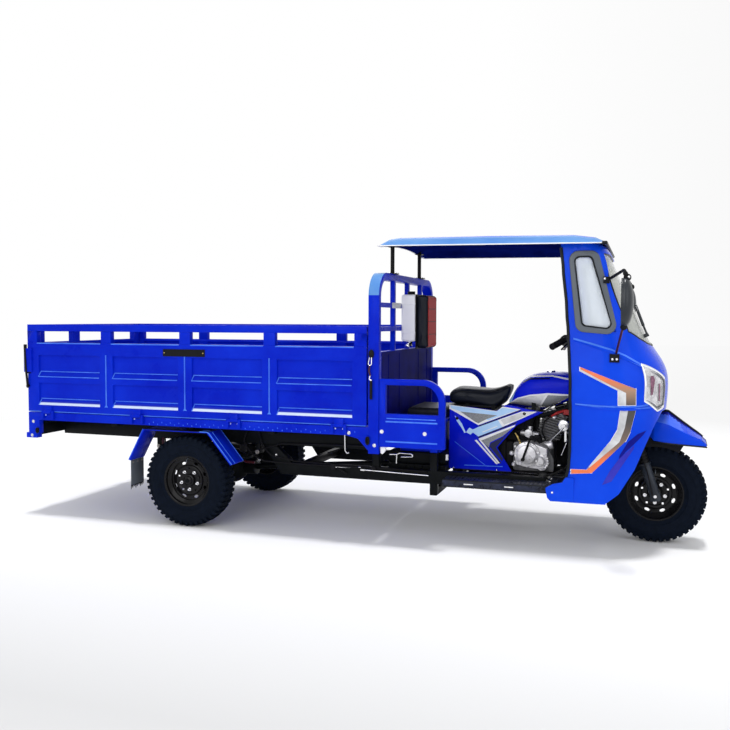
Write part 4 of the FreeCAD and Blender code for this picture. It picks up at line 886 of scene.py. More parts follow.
coverGraphics = [
    ("whiteFilm", 0, [(0.655, 0.789), (0.952, 0.76), (0.986, 0.789), (1.096, 0.776), (0.838, 0.669), (0.655, 0.765)]),
    ("skyFilm", 1, [(0.664, 0.785), (0.95, 0.757), (0.984, 0.782), (1.078, 0.772), (0.9, 0.702), (0.72, 0.752),
        (0.664, 0.768)]),
    ("greyFilm", 2, [(0.724, 0.749), (0.954, 0.734), (0.888, 0.708), (0.838, 0.681), (0.821, 0.688)]),
    ("darkFilm", 0, [(0.842, 0.667), (1.096, 0.774), (1.102, 0.77), (0.846, 0.659)]),
    ("skyFilm", 1, [(0.808, 0.642), (0.836, 0.657), (0.958, 0.706), (0.986, 0.664), (0.838, 0.599), (0.802, 0.624)]),
    ("whiteFilm", 1, [(0.958, 0.706), (1.102, 0.763), (1.194, 0.766), (1.084, 0.711), (0.986, 0.664)]),
    ("silverFilm", 2, [(0.975, 0.708), (1.1, 0.757), (1.172, 0.761), (1.08, 0.716), (0.996, 0.678)]),
    ("whiteFilm", 2, [(0.863, 0.629), (0.954, 0.67), (0.956, 0.665), (0.866, 0.625)]),
    ("darkFilm", 0, [(0.838, 0.597), (0.84, 0.588), (1.066, 0.688), (1.078, 0.702)]),
    ("whiteFilm", 1, [(0.84, 0.586), (1.066, 0.682), (1.058, 0.668), (0.86, 0.574)]),
    ("greyFilm", 2, [(0.856, 0.574), (1.05, 0.664), (0.988, 0.607), (0.912, 0.566), (0.903, 0.534)]),
    ("whiteFilm", 1, [(0.816, 0.574), (0.828, 0.578), (0.961, 0.436), (0.951, 0.433)]),
    ("whiteFilm", 1, [(0.84, 0.582), (0.852, 0.582), (0.972, 0.442), (0.962, 0.438)]),
    ("darkFilm", 1, [(0.858, 0.579), (0.868, 0.578), (0.984, 0.441), (0.974, 0.44)]),
    ("darkFilm", 0, [(0.907, 0.541), (0.916, 0.562), (0.99, 0.602), (1.04, 0.65), (0.948, 0.536), (0.992, 0.47),
        (0.985, 0.452)]),
    ("skyFilm", 0, [(0.69, 0.722), (0.718, 0.698), (0.736, 0.672), (0.76, 0.62), (0.752, 0.616), (0.73, 0.652),
        (0.702, 0.69)]),
    ("skyFilm", 0, [(0.762, 0.622), (0.782, 0.652), (0.8, 0.641), (0.818, 0.645), (0.808, 0.626), (0.79, 0.608)]),
]
tankGraphics = [
    ("skyFilm", 0, [[(1.0, 0.798), (1.048, 0.908), (1.064, 0.908), (1.022, 0.8)]]),
    ("whiteFilm", 1, [[(1.004, 0.798), (1.066, 0.84), (1.193, 0.776)],
        [(1.066, 0.84), (1.144, 0.863), (1.193, 0.776)],
                      [(1.144, 0.863), (1.25, 0.877), (1.236, 0.774), (1.193, 0.776)],
                          [(1.25, 0.877), (1.39, 0.873), (1.39, 0.862), (1.236, 0.774)]]),
    ("silverFilm", 2, [[(1.016, 0.8), (1.068, 0.833), (1.188, 0.781)],
        [(1.068, 0.833), (1.146, 0.856), (1.188, 0.781)], [(1.146, 0.856), (1.24, 0.864), (1.188, 0.781)]]),
    ("greyFilm", 2, [[(1.2, 0.779), (1.253, 0.865), (1.384, 0.862), (1.38, 0.856), (1.235, 0.779)]]),
    # a painted highlight along the tank's top ridge
    ("whiteFilm", 1, [[(1.09, 0.952), (1.14, 0.976), (1.14, 0.968), (1.092, 0.944)],
        [(1.14, 0.976), (1.272, 0.984), (1.272, 0.976), (1.14, 0.968)],
                      [(1.272, 0.984), (1.384, 0.966), (1.384, 0.957), (1.272, 0.976)]]),
    ("darkFilm", 1, [[(1.094, 0.94), (1.14, 0.963), (1.14, 0.953), (1.098, 0.931)],
        [(1.14, 0.963), (1.262, 0.969), (1.262, 0.96), (1.14, 0.953)]]),
]


def buildGraphics():
    # each pressing's slope: a painted reflection, pale in its lower half at the foot of the side, plain paint
    # elsewhere
    ledge = finishes["ledgeGlare"]
    tree, shader = tools(ledge)
    apart = tree.nodes.new("ShaderNodeSeparateXYZ")
    tree.links.new(patternSpot(tree), apart.inputs[0])
    tree.links.new(ramp(tree, apart.outputs["Z"], [(0.754, (0.66, 0.76, 0.95)), (0.758, (0.002, 0.016, 0.46))]),
            shader.inputs["Base Color"])
    ember = finishes["emberFilm"]      # orange at both ends, grey brown at the bend
    tree, shader = tools(ember)
    apart = tree.nodes.new("ShaderNodeSeparateXYZ")
    tree.links.new(patternSpot(tree), apart.inputs[0])
    tree.links.new(ramp(tree, apart.outputs["Z"],
            [(0.54, (0.8, 0.17, 0.05)), (0.62, (0.2, 0.13, 0.1)), (0.76, (0.045, 0.042, 0.04)),
            (0.84, (0.045, 0.042, 0.04)), (0.93, (0.36, 0.21, 0.13)), (1.0, (0.8, 0.17, 0.05))]),
            shader.inputs["Base Color"])

    skin = keepFaces(copyNode("cab_sides", "cabSkin"), lambda face: face.center.y < -0.2 and face.normal.y < -0.3)
    white = makeFilm(skin, [grown(shape, 0.005) for shape in cabGraphics["silver"] + cabGraphics["ember"]], 0.0004,
            "cabStripeEdge")
    silver = makeFilm(skin, cabGraphics["silver"], 0.0009, "cabStripeSilver")
    glow = makeFilm(skin, cabGraphics["ember"], 0.0014, "cabStripeEmber")
    for piece, finishName in ((white, "whiteFilm"), (silver, "silverFilm"), (glow, "emberFilm")):
        fit(bothSides(coat(piece, finishName)), "chassis")
    bpy.data.objects.remove(skin)

    level = {0: 0.00035, 1: 0.0007, 2: 0.00105}
    groups = {}
    for finishName, height, outline in coverGraphics:
        plate = makePlate(outline, "y", -0.1748, -0.175 - level[height], edge=0)
        groups.setdefault(finishName, []).append(plate)
    skin = keepFaces(copyNode("fuel_tank", "tankSkin"), lambda face: face.center.y < -0.01)
    for finishName, height, shapes in tankGraphics:
        groups.setdefault(finishName, []).append(makeFilm(skin, shapes, level[height], "tankFilm"))
    bpy.data.objects.remove(skin)
    for finishName, plates in groups.items():
        piece = joinAll([coat(plate, finishName) for plate in plates], "graphics" + finishName[0].upper()
                + finishName[1:])
        fit(bothSides(piece), "chassis")
    print("graphics ready")


def grown(shape, amount):      # a convex outline with its corners moved out
    cx = sum(x for x, z in shape) / len(shape)
    cz = sum(z for x, z in shape) / len(shape)
    moved = []
    for x, z in shape:
        away = Vector((x - cx, z - cz)).normalized() * amount
        moved.append((x + away.x, z + away.y))
    return moved


# Cab: roof, window seals, edging, lamps and mirrors
cabLook = {
    "window": [(1.4035, 1.686), (1.5325, 1.686), (1.6505, 1.25), (1.4525, 1.27)], "sealWidth": 0.016,
        "sealCorner": 0.05,
    "crease": [(1.424, 1.222), (1.531, 1.192), (1.633, 1.161), (1.703, 1.13), (1.773, 1.088), (1.79, 1.072)],
    "ridge": [(1.44, 0.858), (1.6, 0.85), (1.79, 0.853), (1.836, 0.862)],
        "ridgeLow": [(1.836, 0.826), (1.7, 0.822), (1.56, 0.829), (1.44, 0.85)],
    "mirror": (1.6985, -0.68, 1.412), "wiper": [(1.8, -0.239, 1.233), (1.779, -0.238, 1.282), (1.752, -0.224, 1.352),
        (1.735, -0.18, 1.397)],
    "crescent": [[(1.674, 0.543), (1.68, 0.576), (1.723, 0.65), (1.712, 0.596)],
        [(1.712, 0.596), (1.723, 0.65), (1.772, 0.692), (1.752, 0.634)],
        [(1.752, 0.634), (1.772, 0.692), (1.818, 0.71), (1.8, 0.684)]],
    "sweep": [[(1.756, 0.634), (1.752, 0.61), (1.706, 0.538), (1.68, 0.56), (1.712, 0.59)],
        [(1.68, 0.56), (1.706, 0.538), (1.662, 0.467), (1.628, 0.483)],
        [(1.628, 0.483), (1.662, 0.467), (1.64, 0.43), (1.59, 0.408)]],
    "toe": [(1.284, 0.374), (1.326, 0.399), (1.376, 0.41), (1.394, 0.44), (1.44, 0.44), (1.44, 0.302), (1.312, 0.3),
        (1.294, 0.319), (1.288, 0.352)],
    "tint": [[(1.834, 1.01), (1.85, 1.01), (1.858, 0.988), (1.848, 0.908), (1.838, 0.902)],
        [(1.879, 0.965), (1.887, 0.963), (1.887, 0.864), (1.879, 0.866)]],
}


def isScreen(face):      # the windscreen among the panes
    return face.center.x > 1.58 and abs(face.center.y) < 0.43 and abs(face.normal.y) < 0.95


def buildCab():
    # the roof's underside is painted shade, its sloping sides a painted sky reflection
    dressed("roof", "roofShell", "bluePlastic", 0.003, [
        ("underShade", lambda face: face.normal.z < -0.3),
        ("skyReflectBlue", lambda face: -0.3 < face.normal.z < 0.97 and face.center.x < 1.58),
        ("edgeRubber", lambda face: face.center.x > 1.56 and face.normal.x > 0.35)])
    # a white bead along the roof's lip, a painted highlight
    lip = keepFaces(copyNode("roof", "lip"), lambda face: face.normal.z > -0.3)
    lip = edgeTube(lip, 0.0035, "roofLipTrim")
    fit(cutAway(lip, (1.572, 0, 0), (1, 0, 0)), "chassis", "whiteFilm")
    front = keepFaces(copyNode("roof", "front"), lambda face: face.normal.z > -0.3)
    front = cutAway(edgeTube(front, 0.0095, "roofFrontTrim", 4), (1.572, 0, 0), (-1, 0, 0))
    fit(front, "chassis", "edgeRubber")

    for node, name in (("cab_sides", "cabSides"), ("cab_nose", "cabNose"), ("cab_header", "cabHeader")):
        dressed(node, name, "bluePlastic", 0.0015)
    skin = keepFaces(copyNode("cab_sides", "cabSkin"), lambda face: face.center.y < -0.2 and face.normal.y < -0.3)
    corners = cabLook["window"]
    middle = (sum(x for x, z in corners) / 4, sum(z for x, z in corners) / 4)
    half = cabLook["sealWidth"]
    away = lambda amount: [(x + amount * (1 if x > middle[0] else -1), z + amount * (1 if z > middle[1] else -1))
            for x, z in corners]
    seal = makePlate(roundOutline(away(half), cabLook["sealCorner"]), "y", -0.009, 0.01, edge=0)
    hole = makePlate(roundOutline(away(-half), cabLook["sealCorner"] - 0.022), "y", -0.05, 0.05, edge=0)
    cutBy(seal, [hole])
    softenEdges(seal, 0.0055, 4, 50)
    smoothBy(drape(seal, skin, middle), 60)
    lipSeal = makePlate(roundOutline(away(-half + 0.002), cabLook["sealCorner"] - 0.022), "y", -0.0105, -0.006,
            edge=0)
    hole = makePlate(roundOutline(away(-half - 0.006), cabLook["sealCorner"] - 0.026), "y", -0.05, 0.05, edge=0)
    cutBy(lipSeal, [hole])
    softenEdges(lipSeal, 0.0015, 2, 50)
    smoothBy(drape(lipSeal, skin, middle), 60)
    fit(bothSides(seal, "windowSeals"), "chassis", "sealRubber", ("window_seals",))
    fit(bothSides(lipSeal, "windowSealLips"), "chassis", "edgeRubber")

    line = []
    for step in range(28):
        z = 1.722 - step * (1.722 - 0.392) / 27
        x = rearEdge(skin, z, 1.27, 1.46)
        spot = onSkin(skin, x + 0.004, z)
        if spot:
            line.append((x + 0.0005, spot.y - 0.0005, z))
    putBoth([makeTube(line, 0.0085, 0.02, 4)], "cabEdging", "edgeRubber")
    for name, line, low, tall in (("cabCrease", cabLook["crease"], None, 0.02),
            ("cabRidge", cabLook["ridge"], cabLook["ridgeLow"], 0.0)):
        under = low or [(x, z - tall) for x, z in reversed(line)]
        bar = makePlate(line + under, "y", -0.01, 0.002, edge=0)
        top = {round(x, 3): z for x, z in line}
        for vertex in bar.data.vertices:
            crest = top.get(round(vertex.co.x, 3), -1.0)
            if vertex.co.y < -0.005 and abs(vertex.co.z - crest) < 0.001:
                vertex.co.z -= 0.012
            elif vertex.co.y < -0.005 and not low:
                vertex.co.y = -0.001
        useModifier(bar, "SUBSURF", subdivision_type="SIMPLE", levels=2, render_levels=2)
        smoothBy(drape(bar, skin), 25)
        for vertex in bar.data.vertices:      # fades out towards the rear
            fade = min(1.0, max(0.0, (vertex.co.x - line[0][0]) / 0.12))
            spot = onSkin(skin, vertex.co.x, vertex.co.z)
            if spot:
                vertex.co.y = spot.y + (vertex.co.y - spot.y) * (0.25 + 0.75 * fade)
        # the upward faces take a painted highlight
        shaded(coat(bar, "bluePlastic"), "shineBlue", lambda face: face.normal.z > 0.25)
        fit(bothSides(bar, name), "chassis")
    for name, shapes, finishName, lift in (("cabCrescents", cabLook["crescent"], "deepBlue", 0.0008),
            ("cabSweeps", cabLook["sweep"], "violetBlue", 0.0014)):
        fit(bothSides(coat(makeFilm(skin, shapes, lift, name, 0.0006), finishName)), "chassis")
    bpy.data.objects.remove(skin)
    toe = makePlate(roundOutline(cabLook["toe"], 0.01, 4), "y", -0.512, -0.5005, 0.0025, 3)
    putBoth([toe], "apronToes", "bluePlastic")

    dressed("glazing", "glazing", "clearGlass", 0.0, [("screenGlass", isScreen)])
    screen = keepFaces(copyNode("glazing", "screenSkin"), lambda face: face.normal.x > 0.25
            and abs(face.center.y) < 0.44 and face.center.x > 1.54)
    fit(edgeTube(screen, 0.0065, "windscreenSeal"), "chassis", "edgeRubber")
    blade = [Vector(p) + Vector((0.012, -0.006, 0.004)) for p in cabLook["wiper"]]
    wiper = [makeTube(blade[:2] + [blade[3]], 0.006, 0.02), makeTube([blade[1], blade[2], blade[3]], 0.0085, 0.05),
             makeBar(blade[0] + Vector((-0.02, 0, -0.012)), blade[0] + Vector((0.008, 0, 0.002)), 0.011, edge=0.003)]
    put(wiper, "wiper", "mirrorShell")

    lens = coat(softCopy("headlamps", "headlampLenses", 0.004), "lampLens")
    bowl = copyNode("headlamps", "lampBowl")
    for vertex in bowl.data.vertices:
        vertex.co -= vertex.normal * 0.0035
    fit(smoothBy(bowl, 40), "chassis", "lampBowl")
    fit(lens, "chassis", None, ("headlamps",))
    rim = keepFaces(copyNode("headlamps", "rimSkin"), lambda face: face.normal.x > 0.12)
    fit(edgeTube(rim, 0.007, "lampSurrounds"), "chassis", "chrome")
    inner = keepFaces(copyNode("headlamps", "rimSkin"), lambda face: face.normal.x > 0.12)
    for vertex in inner.data.vertices:      # a dark bead a little inside the chrome one
        side = 1 if vertex.co.y > 0 else -1
        vertex.co.y += (side * 0.344 - vertex.co.y) * 0.16
        vertex.co.z += (0.925 - vertex.co.z) * 0.16
        vertex.co.x += 0.0015
    fit(edgeTube(inner, 0.0045, "lampBeads"), "chassis", "lampRim")
    skin = keepFaces(copyNode("headlamps", "rimSkin"), lambda face: face.center.y < 0 and face.normal.x > 0.12)
    tint = makeFilm(skin, cabLook["tint"], 0.0012, "lampTint", 0.0008)
    bpy.data.objects.remove(skin)
    fit(bothSides(tint), "chassis", "lampTint")

    dressed("mirrors", "mirrors", "blackPlastic", 0.003, [
        ("mirrorShell", lambda face: abs(face.center.y) > 0.604 and 1.284 < face.center.z < 1.54),
        ("stemBrown", lambda face: abs(face.center.y) > 0.49 and 1.14 < face.center.z < 1.284)], 3)
    x, y, z = cabLook["mirror"]
    face = oval(y, z, 0.066, 0.118)
    putBoth([makePlate(face, "x", x - 0.0185, x - 0.0155, 0.001)], "mirrorFaces", "mirrorGlass")
    brim = makePlate(oval(y, z, 0.0725, 0.1255), "x", x - 0.019, x - 0.01, 0)
    cutBy(brim, [makePlate(face, "x", x - 0.03, x, 0)])
    putBoth([softenEdges(brim, 0.0015, 2)], "mirrorBrims", "mirrorShell")
    joints = [makeBall((x + 0.01, y, z + 0.128), (0.02, 0.018, 0.02)),
            makeBar((x, y - 0.018, z + 0.148), (x, y + 0.018, z + 0.148), 0.013, edge=0.003),
              makeBall((x - 0.004, y, z - 0.13), (0.018, 0.018, 0.018))]
    putBoth(joints, "mirrorJoints", "blackPlastic")
    caps = [((x + 0.018, y - 0.016, z + 0.13), (0.4, -1, 0)), ((1.6335, -0.494, 1.104), outwards),
            ((1.6565, -0.494, 1.104), outwards), ((1.586, -0.478, 1.545), outwards),
            ((1.322, -0.512, 0.35), outwards)]
    putBoth([scatter(domeBolt(0.0075, 0.005), caps)], "mirrorBolts", "brightSteel")
    print("cab ready")


# Bed, headboard, guards and what hangs under them
bedLook = {
    "bay": 0.5835, "post": 0.038, "hinges": [-1.9735, -1.2822, -0.5908, 0.1005],
        "plate": (-1.0915, -0.7915, 1.082, 1.128),
    "outer": -0.65, "ledge": 0.626, "guardRibs": (0.728, 0.612), "guardBolts": [(0.363, 0.668), (0.62, 0.666)],
    "legBolts": [(-2.103, 0.626), (-2.115, 0.532), (0.318, 0.585), (0.16, 0.652)], "seam": 0.6965, "shine": 1.46,
        "guardShade": 0.6, "lampSplit": 0.53, "legHole": (-2.066, 0.567), "hook": (0.278, 0.611),
}


def isLedge(face):      # the upward slope at the foot of each lower pressing, where the painted reflection goes
    return face.normal.z > 0.25 and abs(face.center.y) > bedLook["ledge"] and 0.735 < face.center.z < 0.775


def isHoopShine(face):      # the outer face of the hoop, above its straight part, which takes a painted highlight
    onBend = face.center.z > bedLook["shine"] and abs(face.center.y) > 0.48
    return onBend and face.normal.z > -0.2 and abs(face.normal.x) < 0.5


def buildBed():
    outer = bedLook["outer"]
    for side in ("right", "left"):
        sign = -1 if side == "right" else 1
        dressed("side_panel_" + side, "sidePanel" + side.title(), "bluePaint", 0.0025, [("ledgeGlare", isLedge)])
        # ribs and lines on the panel's folds and seam, coloured as painted highlights
        ribs = []
        for step in range(5):
            x = bedRearX + step * bedLook["bay"] + bedLook["post"]
            if 0 < step < 4:
                ribs.append(makeBar((x, outer - 0.001, 0.752), (x, outer - 0.001, 1.082), 0.0038, 10))
                ribs.append(makePlate([(x - 0.013, 0.741), (x, 0.758), (x + 0.013, 0.741)], "y", outer - 0.0035,
                        outer + 0.001, 0.001))
        for step in range(4):
            x = bedRearX + step * bedLook["bay"] + 0.08
            ribs.append(makeBar((x, outer - 0.001, 1.1545), (x + 0.5, outer - 0.001, 1.1545), 0.0035, 10))
            for y, z in ((outer - 0.0005, 0.931), (outer + 0.0165, 0.965), (outer + 0.0165, 0.783)):
                ribs.append(makeBar((x + 0.006 + (y - outer) * 0.6, y, z), (x + 0.487, y, z), 0.003, 10))
            for z in (0.74, 0.931):
                ribs.append(makeBar((x + 0.006, outer - 0.0005, z), (x + 0.016, outer + 0.0165, z + 0.036), 0.003,
                        10))
        ribs.append(makeBar((bedRearX + 0.004, outer - 0.0002, bedLook["seam"]),
                (bedFrontX - 0.004, outer - 0.0002, bedLook["seam"]), 0.0026, 10))
        trim = joinAll(ribs, "panelRibs" + side.title())
        leaves, screws, low, lowScrews = [], [], [], []
        for x in bedLook["hinges"]:
            leaves.append(makeBlock((x - 0.038, outer - 0.0035, 0.7075), (x + 0.038, outer + 0.001, 0.736), 0.0012))
            low.append(makeBlock((x - 0.06, outer - 0.0035, 0.666), (x + 0.06, outer + 0.001, 0.68), 0.0012))
            for rows, z in ((screws, 0.724), (lowScrews, 0.674)):
                rows += [((x - 0.024, outer - 0.0035, z), outwards), ((x + 0.024, outer - 0.0035, z), outwards)]
        hinges = joinAll(leaves, "hingeLeaves" + side.title())
        lowHinges = joinAll(low, "hingeFeet" + side.title())
        bolts = scatter(domeBolt(0.005, 0.0035), screws, "hingeScrews" + side.title())
        lowBolts = scatter(domeBolt(0.005, 0.0035), lowScrews, "hingeFootScrews" + side.title())
        strap = [makeTube([(-2.1545, -0.662, 1.138), (-2.148, -0.664, 1.0), (-2.136, -0.66, 0.853)], 0.0075, 0.03, 4),
                 makeBlock((-2.164, -0.665, 1.108), (-2.146, -0.648, 1.146), 0.004, 3),
                     makeBar((-2.136, -0.668, 0.866), (-2.136, -0.648, 0.866), 0.009, edge=0.002),
                 makeBlock((-2.15, -0.654, 0.95), (-2.118, -0.648, 0.985), 0.002)]
        straps = joinAll(strap, "rearStrap" + side.title())
        # the hinge screws take the pale painted reflection of the pressings' slopes
        pieces = [(trim, "blue_paint", "shineBlue", "side_panel_" + side),
                (hinges, "blue_paint", "bluePaint", "side_panel_" + side),
                (lowHinges, "blue_paint", "bluePaint", "chassis"),
                  (bolts, "blue_paint", "ledgeGlare", "side_panel_" + side),
                      (lowBolts, "blue_paint", "ledgeGlare", "chassis"),
                      (straps, "black_paint", "blackPaint", "side_panel_" + side)]
        if sign > 0:
            for row in pieces:
                mirrorInPlace(row[0], row[0].name)
        for piece, slotName, finishName, body in pieces:
            fit(piece, body, finishName)

    dressed("tailgate", "tailgatePanel", "bluePaint", 0.0025)
    x0, x1, z0, z1 = bedLook["plate"]
    plate = makeBlock((x0, outer - 0.0045, z0), (x1, outer + 0.001, z1), 0.002, 3)
    border = makeBlock((x0 + 0.006, outer - 0.0055, z0 + 0.006), (x1 - 0.006, outer - 0.002, z1 - 0.006), 0.0008)
    put([plate, border], "sidePlate", "blackPaint", "side_panel_right")
    put([scatter(domeBolt(0.004, 0.003),
            facing(outwards, [(x, outer - 0.0055, (z0 + z1) / 2) for x in (x0 + 0.012, x1 - 0.012)]))], "plateScrews",
            "brass", "side_panel_right")

    # dots along the sill, lighter as painted highlights
    dots = []
    for step in range(48):
        x = -1.26 + step * 0.031
        if any(abs(x - h) < 0.07 for h in bedLook["hinges"]):
            continue
        dots.append(((x, outer, 0.648 + 0.012 * (step % 2)), (0.5, -1, 0.6)))
    dot = makeBall((0, 0, 0), (0.003, 0.007, 0.0016), 4, 8)
    putBoth([scatter(dot, dots)], "sillDots", "fenderShine")

    putBoth([scatter(hexBolt(0.0075, 0.006), facing(outwards, [(x, outer, z) for x, z in bedLook["legBolts"]]))],
            "legBolts", "brightSteel")
    hx, hz = bedLook["legHole"]
    ox, oz = bedLook["hook"]
    rings = []
    for x, z, tall in ((hx, hz, 0.016), (ox, oz, 0.022)):
        loop = [(x + 0.01 * across, outer - 0.01, z + tall * up) for across, up in map(around, range(0, 361, 24))]
        rings.append(makeTube(loop, 0.0042, 0.01, 3, False))
        rings.append(makeBlock((x - 0.01, outer - 0.004, z - tall), (x + 0.01, outer + 0.001, z + tall), 0.003))
    putBoth(rings, "sideHooks", "blackPaint")
    gusset = makePlate([(0.13, 0.639), (0.282, 0.639), (0.282, 0.548), (0.214, 0.62)], "y", -0.65, -0.612, 0.002)
    putBoth([gusset], "sillGussets", "bluePaint")

    latch = [makeBall((0.3, -0.656, 1.118), (0.017, 0.01, 0.026)),
            makeTube([(0.302, -0.668, 0.962), (0.303, -0.672, 0.9), (0.302, -0.668, 0.856)], 0.0085, 0.02, 4)]
    putBoth(latch, "latchGrips", "blackPlastic")
    shackle = [makeTube([(0.291, -0.662, 1.098), (0.284, -0.664, 1.06), (0.296, -0.666, 1.05), (0.304, -0.664, 1.06),
            (0.303, -0.662, 1.098)], 0.0032, 0.008),
               makeTube([(0.297, -0.666, 0.996), (0.292, -0.668, 0.975), (0.301, -0.668, 0.958)], 0.004, 0.01),
                   makeBall((0.302, -0.668, 0.966), 0.0075)]
    putBoth(shackle, "latchShackles", "brightSteel")
    link = makeTube([(0.293, -0.665, 1.054), (0.29, -0.667, 1.02), (0.297, -0.667, 0.992)], 0.0052, 0.01)
    putBoth([link], "latchLinks", "stemBrown")

    # ribs on the seat guard, coloured as painted highlights
    ribs = [makeBlock((0.386, -0.6535, z - 0.0045), (0.694, -0.648, z + 0.0045), 0.0025)
            for z in bedLook["guardRibs"]]
    ribs.append(makeBar((0.392, -0.6495, 0.7465), (0.684, -0.6495, 0.7465), 0.003, 10))
    putBoth(ribs, "guardRibs", "shineBlue")
    putBoth([scatter(hexBolt(0.008, 0.006), facing(outwards, [(x, -0.6505, z) for x, z in bedLook["guardBolts"]]))],
            "guardBolts", "whiteFilm")
    clip = makePlate([(0.35, 0.577), (0.384, 0.577), (0.38, 0.552), (0.364, 0.534), (0.352, 0.54)], "y", -0.64, -0.616,
            0.003)
    putBoth([clip], "guardClips", "whiteFilm")

    flanges, flangeBolts = [], []
    for y in (-0.3195, 0.3195):
        flanges.append(makeBlock((0.292, y - 0.034, 1.5945), (0.36, y + 0.034, 1.601), 0.002))
        flanges.append(makeBlock((0.3, y - 0.026, 1.76), (0.352, y + 0.026, 1.766), 0.002))
        flangeBolts += facing(upwards, [(x, y + dy, 1.601) for x in (0.3, 0.351) for dy in (-0.024, 0.024)])
    put(flanges, "roofPostFlanges", "blackPaint")
    put([scatter(hexBolt(0.006, 0.005), flangeBolts)], "flangeBolts", "brightSteel")
    dressed("headboard", "headboardHoop", "bluePaint", 0.005, [("skyReflectBlue", isHoopShine)])
    # the headboard's sheet, darker as painted shade
    sheet = [makeBlock((0.3437, -0.596, 0.706), (0.345, 0.596, 1.126), 0.0004)]
    sheet += [makeBar((0.345, y, 0.73), (0.345, y, 1.11), 0.0026, 8) for y in (-0.46, -0.23, 0.23, 0.46)]
    put(sheet, "headboardSheet", "sheetShade")
    # the mudguards' tops under the bed are painted black as shade
    dressed("rear_mudguards", "rearMudguards", "bluePaint", 0.0015,
            [("blackPaint", lambda face: face.center.z > bedLook["guardShade"])])
    bar = makeBlock((0.344, -0.385, 1.387), (0.3462, -0.196, 1.421), 0.001)
    put([bar], "barPlate", "silverFilm")

    # lips along the mudguards' folds, coloured as painted highlights
    lips = []
    for y, size in ((-0.6555, 0.003), (-0.61, 0.0026), (-0.498, 0.0026)):
        lips.append(makeTube([(rearAxleX + 0.11, y, 0.6125), (rearAxleX + 0.171, y, 0.6125),
                (rearAxleX + 0.334, y, 0.4185)], size, 0.03, 3))
        lips.append(makeBar((rearAxleX - 0.411, y, 0.4085), (rearAxleX - 0.301, y, 0.6125), size * 0.8, 10))
    putBoth(lips, "mudguardLips", "shineBlue")
    teeth = [(-0.64, 0.243)]
    for step in range(9):
        y = -0.64 + 0.14 * step / 8
        teeth += [(y, 0.212 + 0.006 * (step % 3)), (min(y + 0.0088, -0.501), 0.243)]
    fringe = makePlate(teeth + [(-0.5, 0.243)], "x", -1.3475, -1.3435, 0)
    putBoth([fringe], "flapFringes", "edgeRubber")
    putBoth([scatter(hexBolt(0.006, 0.004), [((-1.3415, y, 0.388), (1, 0, 0)) for y in (-0.62, -0.57, -0.52)])],
            "flapBolts", "dullSteel")

    dressed("tail_lamps", "tailLamps", "redLens", 0.005,
            [("amberLens", lambda face: abs(face.center.y) > bedLook["lampSplit"])], 3)
    print("bed ready")


